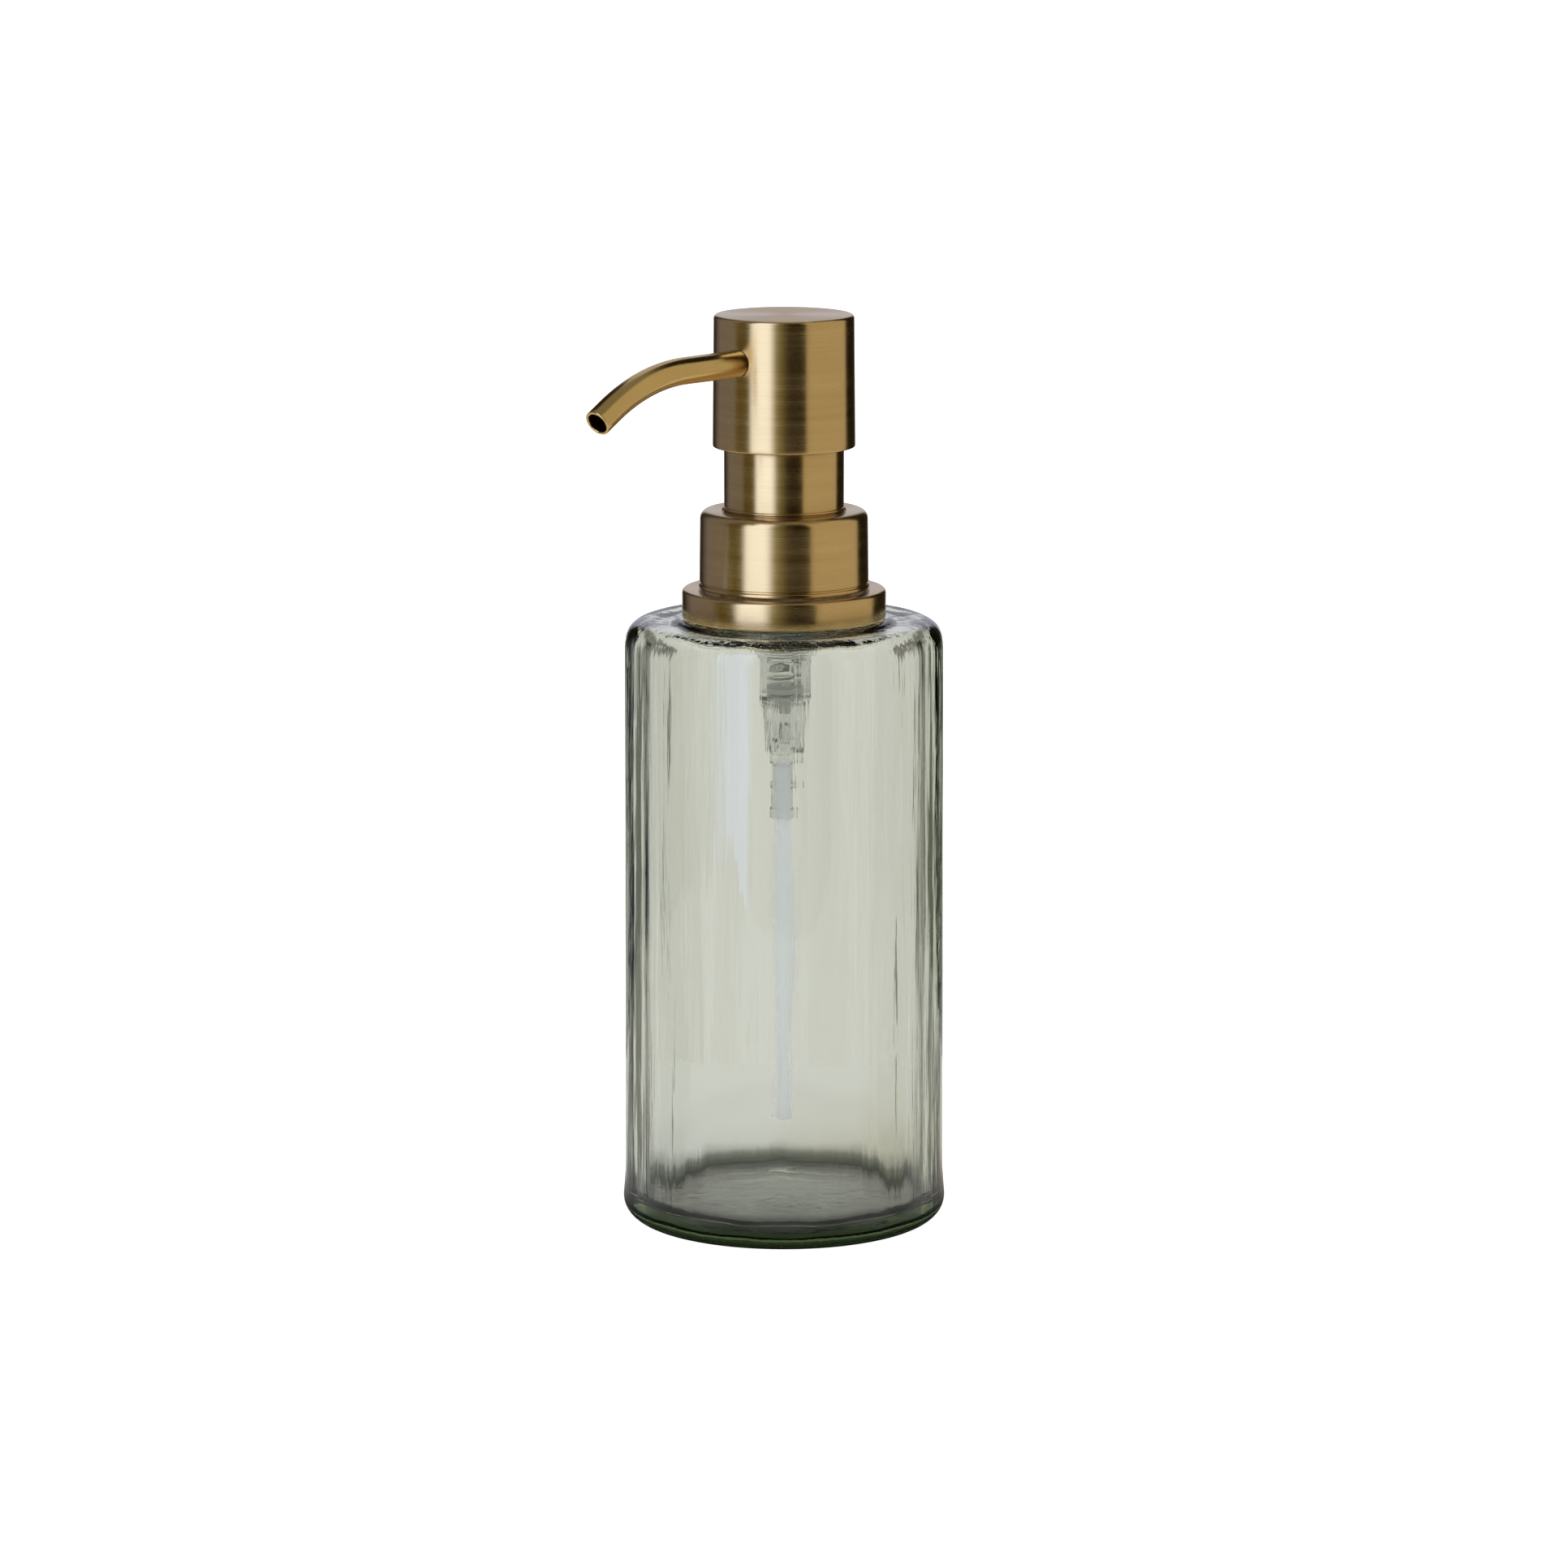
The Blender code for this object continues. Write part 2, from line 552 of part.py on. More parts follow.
def spout_tube(finish, group):
    curve = curve_along("spout_tube_path", spout_path(), SPOUT_R, 4, False)
    guide = bpy.data.objects.new("spout_tube_path", curve)
    group.objects.link(guide)
    bpy.context.view_layer.update()
    mesh = bpy.data.meshes.new_from_object(guide.evaluated_get(bpy.context.evaluated_depsgraph_get()))
    bpy.data.objects.remove(guide)
    mesh.name = "spout_tube"
    mesh.shade_smooth()
    made = add_object("spout_tube", mesh, finish, group)
    weld = made.modifiers.new("weld", "WELD")
    weld.merge_threshold = 0.00001
    wall = made.modifiers.new("wall", "SOLIDIFY")
    wall.thickness = SPOUT_WALL
    wall.offset = -1.0
    return made


def spout_seal(finish, group):
    """The rubber ring round the spout tube, in the groove of the core."""
    bpy.ops.mesh.primitive_torus_add(
        location=(0.0, -SEAL_PLACE, SPOUT_Z), rotation=(math.pi / 2, 0.0, 0.0), major_segments=20,
        minor_segments=8, major_radius=SPOUT_R + SEAL_SQUEEZE + SEAL_WIRE_R, minor_radius=SEAL_WIRE_R)
    made = bpy.context.object
    made.name = "spout_seal"
    made.data.materials.append(finish)
    for home in list(made.users_collection):
        home.objects.unlink(made)
    group.objects.link(made)
    return made


def main():
    for leftover in list(bpy.data.objects):
        bpy.data.objects.remove(leftover)
    group = collection("soap_dispenser")
    cutters = collection("cutters")
    cutters.hide_render = True
    brass = material("brushed_brass", (0.52, 0.38, 0.18), metallic=1.0, roughness=0.32)
    satin = material("satin_brass", (0.50, 0.36, 0.15), metallic=1.0, roughness=0.22)
    glass = material("sage_glass", (0.72, 0.78, 0.70), roughness=0.02, transmission=1.0)
    frosted = material("frosted_plastic", (0.85, 0.87, 0.88), roughness=0.35, transmission=0.6)
    white = material("white_plastic", (0.82, 0.82, 0.80), roughness=0.4)
    rubber = material("seal_rubber", (0.10, 0.10, 0.10), roughness=0.7)
    steel = material("spring_steel", (0.62, 0.62, 0.62), metallic=1.0, roughness=0.25)
    ball = material("ball_glass", (0.80, 0.85, 0.85), roughness=0.05, transmission=0.8)

    glass_bottle(glass, group)
    base_ring(brass, group)
    neck_gasket(rubber, group)
    pump_housing(frosted, group)
    guide_collar(white, group)
    stem_sleeve(brass, group)
    ball_cage(white, group)
    dip_tube(frosted, group)
    return_spring(steel, group)
    check_ball(ball, group)
    closure_cap(white, group)
    closure_shell(brass, group)

    head = bpy.data.objects.new("head_axis", None)
    group.objects.link(head)
    moving = [
        piston(white, group), piston_rod(white, group), stem(white, group),
        head_core(white, group, cutters), head_shell(brass, group, cutters),
        spout_tube(satin, group), spout_seal(rubber, group),
    ]
    for piece in moving:
        piece.parent = head


main()
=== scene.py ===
# %% [markdown]
# A soap dispenser: a fluted bottle of pale sage glass under a brushed brass lotion pump.
#
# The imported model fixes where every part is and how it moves. This script gives each part its
# finished shape and its finish: thick wavy glass, brass that was brushed while it turned, and
# the clear plastic works that show through the bottle. Blender works in metres. A lathe
# operator would think in millimetres, so profiles are written in those, and the pump's axis is
# the Z axis.

# %% Load the frame
import math

import bmesh
import bpy
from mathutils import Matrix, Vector, noise


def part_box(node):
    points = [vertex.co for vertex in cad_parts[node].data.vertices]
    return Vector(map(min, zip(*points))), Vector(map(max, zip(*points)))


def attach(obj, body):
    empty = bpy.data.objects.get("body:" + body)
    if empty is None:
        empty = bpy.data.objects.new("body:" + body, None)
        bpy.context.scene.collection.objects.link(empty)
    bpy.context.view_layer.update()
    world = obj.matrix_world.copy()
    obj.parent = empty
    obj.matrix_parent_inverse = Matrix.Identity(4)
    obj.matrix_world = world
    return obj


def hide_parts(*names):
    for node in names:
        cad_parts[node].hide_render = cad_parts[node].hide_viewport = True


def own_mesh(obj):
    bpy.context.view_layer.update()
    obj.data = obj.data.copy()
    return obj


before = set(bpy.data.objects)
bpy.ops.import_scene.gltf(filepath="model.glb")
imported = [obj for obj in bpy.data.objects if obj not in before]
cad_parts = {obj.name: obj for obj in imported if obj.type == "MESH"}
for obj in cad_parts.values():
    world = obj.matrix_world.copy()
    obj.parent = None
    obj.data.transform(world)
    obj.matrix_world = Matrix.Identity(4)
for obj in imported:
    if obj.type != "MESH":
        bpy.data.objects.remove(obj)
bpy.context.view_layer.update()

MM = 0.001

# %% [markdown]
# The camera looks a little down on the dispenser with a long lens, so that the bottle's sides
# stay almost parallel. Its place is worked out from a distance, a height and a turn round the
# axis, as a tripod is set up. The spout then points forward and left.

# %% Camera
CAMERA_TURN = math.radians(41.0)
CAMERA_REACH = 1.300
CAMERA_HEIGHT = 0.3346
AIM_HEIGHT = 0.0903
LENS = 148.9

TOWARDS_CAMERA = Vector((math.sin(CAMERA_TURN), -math.cos(CAMERA_TURN), 0.0))
CAMERA_RIGHT = Vector((math.cos(CAMERA_TURN), math.sin(CAMERA_TURN), 0.0))
bpy.ops.object.camera_add(location=TOWARDS_CAMERA * CAMERA_REACH + Vector((0.0, 0.0, CAMERA_HEIGHT)))
camera = bpy.context.object
camera.name = "studio_camera"
camera.data.lens = LENS
camera.data.sensor_width = 36.0
camera.data.clip_start = 0.01
aim = Vector((0.0, 0.0, AIM_HEIGHT)) - camera.location
camera.rotation_euler = aim.to_track_quat("-Z", "Y").to_euler()
bpy.context.scene.camera = camera
print("camera at", [round(v, 3) for v in camera.location])

# %% [markdown]
# Most parts here are turned: they are the same all the way round the axis. Blender's Screw
# modifier or a Spin could sweep a profile, but a turned part is also easy to grow as a potter
# pulls a wall: start with a circle, then extrude it and scale it, row by row. Corners are
# rounded afterwards with Bevel on the ring of edges at the corner.

# %% Selecting in code
def deselect_all():
    if bpy.context.mode != "OBJECT":
        bpy.ops.object.mode_set(mode="OBJECT")
    bpy.ops.object.select_all(action="DESELECT")


def make_active(piece):
    deselect_all()
    piece.select_set(True)
    bpy.context.view_layer.objects.active = piece


def polar(place):
    """(distance from the axis, angle round it, height) of a place. Lengths are in millimetres."""
    return math.hypot(place.x, place.y) / MM, math.atan2(place.y, place.x), place.z / MM


def select_edges(piece, wanted):
    """Goes to edit mode with only the edges selected for which wanted(one end, other end) is true."""
    make_active(piece)
    bpy.ops.object.mode_set(mode="EDIT")
    bpy.ops.mesh.select_mode(type="EDGE")
    bpy.ops.mesh.select_all(action="DESELECT")
    shape = bmesh.from_edit_mesh(piece.data)
    for edge in shape.edges:
        one, other = edge.verts
        edge.select_set(wanted(polar(one.co), polar(other.co)))
    bmesh.update_edit_mesh(piece.data)

# %% Growing a turned piece
SLACK = 0.02


def arc(centre_r, centre_z, radius, start, end, steps):
    """Rows on an arc, from one angle in degrees to another: 0 is away from the axis, 90 is up."""
    turns = [math.radians(start + (end - start) * i / steps) for i in range(steps + 1)]
    return [(centre_r + radius * math.cos(a), centre_z + radius * math.sin(a)) for a in turns]


def grow(rows):
    """Extrudes and scales the selected ring from row to row. A row is (radius, height)."""
    for (last_r, last_z), (next_r, next_z) in zip(rows, rows[1:]):
        bpy.ops.mesh.extrude_region_move(
            TRANSFORM_OT_translate={"value": (0.0, 0.0, (next_z - last_z) * MM)})
        share = next_r / last_r
        if share != 1.0:
            bpy.ops.transform.resize(value=(share, share, 1.0), center_override=(0.0, 0.0, next_z * MM))


def turned(name, rows, sides=128, fill_start=False, fill_end=False):
    """A turned piece grown from a circle. It closes on itself if its last row is its first."""
    deselect_all()
    start_r, start_z = rows[0]
    bpy.ops.mesh.primitive_circle_add(vertices=sides, radius=start_r * MM,
                                      location=(0.0, 0.0, start_z * MM),
                                      fill_type="NGON" if fill_start else "NOTHING")
    piece = bpy.context.object
    piece.name = name
    piece.data.name = name
    bpy.ops.object.transform_apply(location=True)
    bpy.ops.object.mode_set(mode="EDIT")
    bpy.ops.mesh.select_mode(type="EDGE")
    bpy.ops.mesh.select_all(action="SELECT")
    if fill_start:
        bpy.ops.mesh.region_to_loop()
    grow(rows)
    if fill_end:
        bpy.ops.mesh.edge_face_add()
    bpy.ops.mesh.select_all(action="SELECT")
    bpy.ops.mesh.remove_doubles(threshold=0.001 * MM)
    bpy.ops.mesh.normals_make_consistent(inside=False)
    bpy.ops.object.mode_set(mode="OBJECT")
    return piece


def round_corner(piece, radius, height, width, segments=4):
    """Bevels the ring of edges at this radius and height."""
    def on_ring(end):
        return abs(end[0] - radius) < SLACK and abs(end[2] - height) < SLACK

    select_edges(piece, lambda one, other: on_ring(one) and on_ring(other))
    bpy.ops.mesh.bevel(offset=width * MM, offset_type="OFFSET", segments=segments, affect="EDGES")
    bpy.ops.object.mode_set(mode="OBJECT")


def cut_wall(piece, low, high, cuts):
    """Cuts the edges that run from one height to another, so that the wall between gets rows."""
    def runs_up(one, other):
        foot, top = sorted((one[2], other[2]))
        return abs(foot - low) < SLACK and abs(top - high) < SLACK

    select_edges(piece, runs_up)
    bpy.ops.mesh.subdivide(number_cuts=cuts)
    bpy.ops.object.mode_set(mode="OBJECT")

# %% Pushing a surface in and out
def smooth_step(value, low, high):
    share = min(1.0, max(0.0, (value - low) / (high - low)))
    return share * share * (3.0 - 2.0 * share)


def apply_modifiers(piece):
    make_active(piece)
    for modifier in list(piece.modifiers):
        bpy.ops.object.modifier_apply(modifier=modifier.name)


def push_surface(piece, name, depth, weight_of):
    """Moves the surface out along its normals by depth millimetres times a weight from 0 to 1.

    The weights are a vertex group, as painted by hand, and a Displace modifier does the move.
    """
    group = piece.vertex_groups.new(name=name)
    for point in piece.data.vertices:
        weight = min(1.0, max(0.0, weight_of(*polar(point.co))))
        if weight > 0.0:
            group.add([point.index], weight, "REPLACE")
    push = piece.modifiers.new(name, "DISPLACE")
    push.vertex_group = name
    push.mid_level = 0.0
    push.strength = depth * MM
    push.direction = "NORMAL"
    apply_modifiers(piece)
    piece.vertex_groups.remove(piece.vertex_groups[name])

# %% Finishing a piece
def shade(piece, degrees=35):
    make_active(piece)
    bpy.ops.object.shade_smooth_by_angle(angle=math.radians(degrees))


def finish(piece, material, body, slot, *nodes):
    """Gives a piece its material and the body it rides on, and hides the nodes it stands for. The slot is
    not used.
    """
    piece.data.materials.clear()
    piece.data.materials.append(material)
    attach(piece, body)
    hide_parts(*nodes)
    print(f"{piece.name}: {len(piece.data.polygons)} faces, rides on {body}")


def span(node):
    """(outer radius, foot, top) of a node that is turned about the axis, in millimetres."""
    low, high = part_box(node)
    return high.x / MM, low.z / MM, high.z / MM

# %% [markdown]
# Materials come next, because each piece is given one as it is made. A material in Blender is
# a small tree of nodes. Building one in code is easier to read with two helpers: one that adds
# a node and fills in its inputs, and one that starts a node group with named sockets. A group
# holds an effect that several materials share, such as brushing or grain, and hands back only
# patterns. The shader itself stays in each material.

# %% Helpers for node trees
def add(tree, kind, inputs=None, **settings):
    """Adds a shader node. An input that is given a socket is linked, and any other is set."""
    made = tree.nodes.new("ShaderNode" + kind)
    for name, value in settings.items():
        setattr(made, name, value)
    for name, value in (inputs or {}).items():
        if isinstance(value, bpy.types.NodeSocket):
            tree.links.new(value, made.inputs[name])
        else:
            made.inputs[name].default_value = value
    return made


def calculate(tree, operation, *values):
    made = add(tree, "Math", dict(enumerate(values)), operation=operation)
    return made.outputs[0]


def average(tree, one, other):
    return calculate(tree, "MULTIPLY", calculate(tree, "ADD", one, other), 0.5)


def blend_colours(tree, share, one, other):
    """The first colour where share is 0, and the other where it is 1."""
    return add(tree, "Mix", {0: share, 6: one, 7: other}, data_type="RGBA").outputs[2]


def scaled(tree, value, low, high):
    """A value from 0 to 1 as one from low to high."""
    return add(tree, "MapRange", {"Value": value, "To Min": low, "To Max": high}).outputs["Result"]


def noise_at(tree, place, scale, **more):
    """Noise from 0 to 1 at a place. A larger scale makes it finer."""
    return add(tree, "TexNoise", {"Vector": place, "Scale": scale, **more}).outputs["Fac"]


def distance_from_axis(tree, spot):
    """The distance from the Z axis. spot holds the X, Y and Z of a place."""
    squares = [calculate(tree, "MULTIPLY", spot[axis], spot[axis]) for axis in "XY"]
    return calculate(tree, "SQRT", calculate(tree, "ADD", *squares))


def link_bump(tree, shader, height, strength, distance):
    """Tilts the surface by a pattern of heights. The distance is in metres."""
    bump = add(tree, "Bump", {"Height": height, "Strength": strength, "Distance": distance})
    tree.links.new(bump.outputs["Normal"], shader.inputs["Normal"])


def ramp(tree, factor, stops):
    """A colour ramp. Each stop is (position, grey) or (position, (red, green, blue))."""
    made = add(tree, "ValToRGB", {"Fac": factor})
    band = made.color_ramp.elements
    band.remove(band[1])
    band[0].position = stops[0][0]
    for position, _ in stops[1:]:
        band.new(position)
    for element, (_, colour) in zip(band, stops):
        shade_of = colour if isinstance(colour, tuple) else (colour, colour, colour)
        element.color = (*shade_of, 1.0)
    return made.outputs["Color"]


def new_group(name, inputs, outputs):
    """A shader node group. Inputs are (name, value), and outputs are (name, socket type)."""
    tree = bpy.data.node_groups.new(name, "ShaderNodeTree")
    for label, value in inputs:
        given = tree.interface.new_socket(name=label, in_out="INPUT", socket_type="NodeSocketFloat")
        given.default_value = value
    for label, kind in outputs:
        tree.interface.new_socket(name=label, in_out="OUTPUT", socket_type="NodeSocket" + kind)
    return tree, tree.nodes.new("NodeGroupInput").outputs, tree.nodes.new("NodeGroupOutput")


def place_group(tree, group, **values):
    made = tree.nodes.new("ShaderNodeGroup")
    made.node_tree = group
    for label, value in values.items():
        made.inputs[label.replace("_", " ")].default_value = value
    return made.outputs


def new_material(name, **values):
    """A material with its Principled BSDF's plain values set, then its tree and that shader."""
    made = bpy.data.materials.new(name)
    made.use_nodes = True
    shader = made.node_tree.nodes["Principled BSDF"]
    for label, value in values.items():
        shader.inputs[label.replace("_", " ")].default_value = value
    return made, made.node_tree, shader

# %% [markdown]
# Brushed brass. The shells spin on a lathe while an abrasive pad is held against them, so the
# scratches run round the axis: close together along the profile, long round it. On an object
# whose axis is Z, noise that is stretched that way needs only the object's own coordinates.
# Height minus radius is the distance along the profile, on the wall and on the flat top alike.
# An image texture would need a seam somewhere, and this has none.

# %% Shared effect: lathe brushing
def make_brushing():
    tree, given, back = new_group(
        "lathe_brushing",
        [("Lines", 2600.0), ("Reach", 45.0)],
        [("Streaks", "Float"), ("Tone", "Float"), ("Height", "Float")])
    spot = add(tree, "SeparateXYZ", {0: add(tree, "TexCoord").outputs["Object"]}).outputs
    along = calculate(tree, "SUBTRACT", spot["Z"], distance_from_axis(tree, spot))

    def streak(lines, detail):
        stretched = add(tree, "CombineXYZ", {
            0: calculate(tree, "MULTIPLY", spot["X"], given["Reach"]),
            1: calculate(tree, "MULTIPLY", spot["Y"], given["Reach"]),
            2: calculate(tree, "MULTIPLY", along, lines)})
        return noise_at(tree, stretched.outputs[0], 1.0, Detail=detail, Roughness=0.6)

    fine = streak(given["Lines"], 3.0)
    broad = streak(calculate(tree, "MULTIPLY", given["Lines"], 0.16), 2.0)
    both = average(tree, fine, broad)
    tree.links.new(ramp(tree, both, [(0.3, 0.0), (0.7, 1.0)]), back.inputs["Streaks"])
    tree.links.new(broad, back.inputs["Tone"])
    tree.links.new(both, back.inputs["Height"])
    return tree


lathe_brushing = make_brushing()
print("group:", lathe_brushing.name)

# %% [markdown]
# Antique brass is darkened with a chemical stain and then rubbed back, so edges that a hand or
# a cloth meets are brighter, and flat parts keep faint clouds of brown. Pointiness tells how
# sharply the surface bends at a spot, which finds those edges with no painting.

# %% Shared effect: rubbed edges and clouds
def make_rubbing():
    tree, given, back = new_group(
        "rubbed_edges",
        [("Cloud Size", 90.0), ("Edge Start", 0.53), ("Edge End", 0.62)],
        [("Edges", "Float"), ("Clouds", "Float")])
    place = add(tree, "TexCoord").outputs["Object"]
    clouds = noise_at(tree, place, given["Cloud Size"], Detail=4.0)
    drift = calculate(tree, "MULTIPLY", calculate(tree, "SUBTRACT", clouds, 0.5), 0.06)
    broken = calculate(tree, "ADD", add(tree, "NewGeometry").outputs["Pointiness"], drift)
    edges = add(tree, "MapRange", {"Value": broken, "From Min": given["Edge Start"],
                                   "From Max": given["Edge End"]})
    tree.links.new(edges.outputs["Result"], back.inputs["Edges"])
    tree.links.new(clouds, back.inputs["Clouds"])
    return tree


rubbed_edges = make_rubbing()
print("group:", rubbed_edges.name)

# %% Brushed brass
BRASS = (0.62, 0.43, 0.185, 1.0)
BRASS_DARK = (0.44, 0.29, 0.115, 1.0)
BRASS_BRIGHT = (0.74, 0.56, 0.28, 1.0)


def make_brushed_brass():
    made, tree, shader = new_material("brushed_brass", Metallic=1.0, Anisotropic=0.75,
                                      Anisotropic_Rotation=0.25)
    brushing = place_group(tree, lathe_brushing, Lines=3000.0, Reach=14.0)
    rubbing = place_group(tree, rubbed_edges, Cloud_Size=60.0, Edge_Start=0.53, Edge_End=0.62)
    stained = blend_colours(tree, rubbing["Clouds"], BRASS_DARK, BRASS)
    streaked = blend_colours(tree, brushing["Streaks"], stained, BRASS)
    worn = blend_colours(tree, rubbing["Edges"], streaked, BRASS_BRIGHT)
    tree.links.new(worn, shader.inputs["Base Color"])
    tree.links.new(scaled(tree, brushing["Streaks"], 0.20, 0.30), shader.inputs["Roughness"])
    link_bump(tree, shader, brushing["Height"], 0.09, 0.00006)
    round_axis = add(tree, "Tangent", direction_type="RADIAL", axis="Z")
    tree.links.new(round_axis.outputs["Tangent"], shader.inputs["Tangent"])
    return made


brushed_brass = make_brushed_brass()
print("material:", brushed_brass.name)

# %% [markdown]
# The spout is drawn tube, bent and then polished by hand, so it is smoother than the shells and
# a little more golden. Its faint scratches have no one direction. The same clouds as on the
# shells keep the two brasses from looking like two metals.

# %% Shared effect: fine grain
def make_grain():
    tree, given, back = new_group(
        "fine_grain", [("Size", 1500.0), ("Contrast", 0.5)], [("Value", "Float"), ("Height", "Float")])
    place = add(tree, "TexCoord").outputs["Object"]
    small = noise_at(tree, place, given["Size"], Detail=3.0)
    large = noise_at(tree, place, calculate(tree, "MULTIPLY", given["Size"], 0.08), Detail=2.0)
    centred = calculate(tree, "SUBTRACT", average(tree, small, large), 0.5)
    centred = calculate(tree, "MULTIPLY", centred, given["Contrast"])
    tree.links.new(calculate(tree, "ADD", centred, 0.5), back.inputs["Value"])
    tree.links.new(small, back.inputs["Height"])
    return tree


fine_grain = make_grain()
print("group:", fine_grain.name)

# %% Satin brass
SATIN = (0.64, 0.45, 0.18, 1.0)
SATIN_DARK = (0.52, 0.345, 0.12, 1.0)
SATIN_BRIGHT = (0.80, 0.60, 0.32, 1.0)


def make_satin_brass():
    made, tree, shader = new_material("satin_brass", Metallic=1.0)
    grain = place_group(tree, fine_grain, Size=900.0, Contrast=1.2)
    rubbing = place_group(tree, rubbed_edges, Cloud_Size=80.0, Edge_Start=0.56, Edge_End=0.66)
    stained = blend_colours(tree, rubbing["Clouds"], SATIN_DARK, SATIN)
    worn = blend_colours(tree, rubbing["Edges"], stained, SATIN_BRIGHT)
    tree.links.new(worn, shader.inputs["Base Color"])
    tree.links.new(scaled(tree, grain["Value"], 0.10, 0.24), shader.inputs["Roughness"])
    link_bump(tree, shader, grain["Height"], 0.10, 0.00005)
    return made


satin_brass = make_satin_brass()
print("material:", satin_brass.name)

# %% [markdown]
# Sage glass. Most of its colour isn't on the surface: light loses a little red and blue for every
# millimetre of glass that it crosses, so a thin wall is almost grey and the thick floor is
# green. Volume Absorption inside the glass does exactly that. The heel is the thickest glass of
# all and stands on a dark patch of table, so it and the underside get painted shade on top: a
# dark green tint in the glass's colour, with lighter patches on the underside.
#
# Glass this thick also has dark upright lines along both sides. Light that grazes a skin, and
# light that was thrown back inside the wall, has come from the dark part of a real studio. The
# wall that shows through the glass here is pale all round, so those lines are painted shade in
# the glass's colour, and Layer Weight and Light Path say where they are. Where the light thrown
# back inside the wall leaves it, a painted light strip lies between painted dark bands. Pressed
# glass also keeps faint upright ripples from the mould, and a bottle that is in use has a few
# dull smears.

# %% Sage glass: smears and painted shade on its skins
BETWEEN_SKINS_R = 30.5
GLASS_TINT = (0.985, 0.99, 0.98, 1.0)
SMEAR_TINT = (0.96, 0.97, 0.95, 1.0)
# Painted shade on the heel and the underside, with lighter patches on the underside:
HEEL_PAINTED_SHADE = (0.34, 0.42, 0.26, 1.0)
UNDERSIDE_PAINTED_SHADE = (0.40, 0.56, 0.30, 1.0)
UNDERSIDE_PAINTED_SHADE_LIGHT = (0.80, 0.86, 0.74, 1.0)


def below(tree, height, full, none):
    """1 where the height is under full millimetres, 0 where it is over none, and a blend between."""
    return ramp(tree, height, [(full * MM, 1.0), (none * MM, 0.0)])


def skin_smears_and_painted_shade(tree, place, height, smears, outer_skin):
    clean = blend_colours(tree, smears, GLASS_TINT, SMEAR_TINT)
    # Painted shade: the underside, with lighter patches, and the heel's outer skin are tinted dark green.
    underside_shade_patches = ramp(tree, noise_at(tree, place, 70.0, Detail=2.0), [(0.38, 0.0), (0.62, 1.0)])
    underside = blend_colours(tree, underside_shade_patches, UNDERSIDE_PAINTED_SHADE, UNDERSIDE_PAINTED_SHADE_LIGHT)
    tint = blend_colours(tree, below(tree, height, 0.2, 0.6), clean, underside)
    heel_shade_mask = calculate(tree, "MULTIPLY", below(tree, height, 3.5, 6.0), outer_skin)
    return blend_colours(tree, heel_shade_mask, tint, HEEL_PAINTED_SHADE)

# %% Sage glass: painted shade along its sides
# The colour of the painted shade along the glass's sides:
PAINTED_EDGE_SHADE = (0.06, 0.055, 0.04, 1.0)
INNER_EDGE_SHADE = [(0.50, 0.0), (0.60, 0.92), (0.72, 1.0)]
OUTER_EDGE_SHADE = [(0.86, 0.0), (0.97, 0.85)]
UPRIGHT = [(0.10, 1.0), (0.35, 0.0)]
# Painted reflection where light thrown back inside the wall leaves it: painted shade at both ends, a
# painted light strip between.
THROWN_BACK_PAINTED = [(0.172, (0.03, 0.035, 0.02)), (0.194, (0.85, 0.90, 0.80)), (0.225, (0.85, 0.90, 0.80)),
               (0.243, (0.08, 0.09, 0.06))]


def grazing_edge_shade(tree, grazing, normal, outer_skin):
    """How much painted shade an upright skin gets where it is turned away, from 0 to 1. The inner skin
    darkens sooner.
    """
    on_either = blend_colours(tree, outer_skin, ramp(tree, grazing, INNER_EDGE_SHADE),
                              ramp(tree, grazing, OUTER_EDGE_SHADE))
    facing_up = add(tree, "SeparateXYZ", {0: normal}).outputs["Z"]
    on_wall = ramp(tree, calculate(tree, "ABSOLUTE", facing_up), UPRIGHT)
    return calculate(tree, "MULTIPLY", on_either, on_wall)


def leaving_after_reflection(tree, backfacing, outer_skin):
    """1 where light that was reflected inside the wall leaves through the outer skin."""
    reflected = add(tree, "LightPath").outputs["Is Reflection Ray"]
    return calculate(tree, "MULTIPLY", reflected, calculate(tree, "MULTIPLY", backfacing, outer_skin))

# %% Sage glass
GLASS_DENSITY = 60.0
GLASS_COLOUR = (0.567, 0.65, 0.517, 1.0)


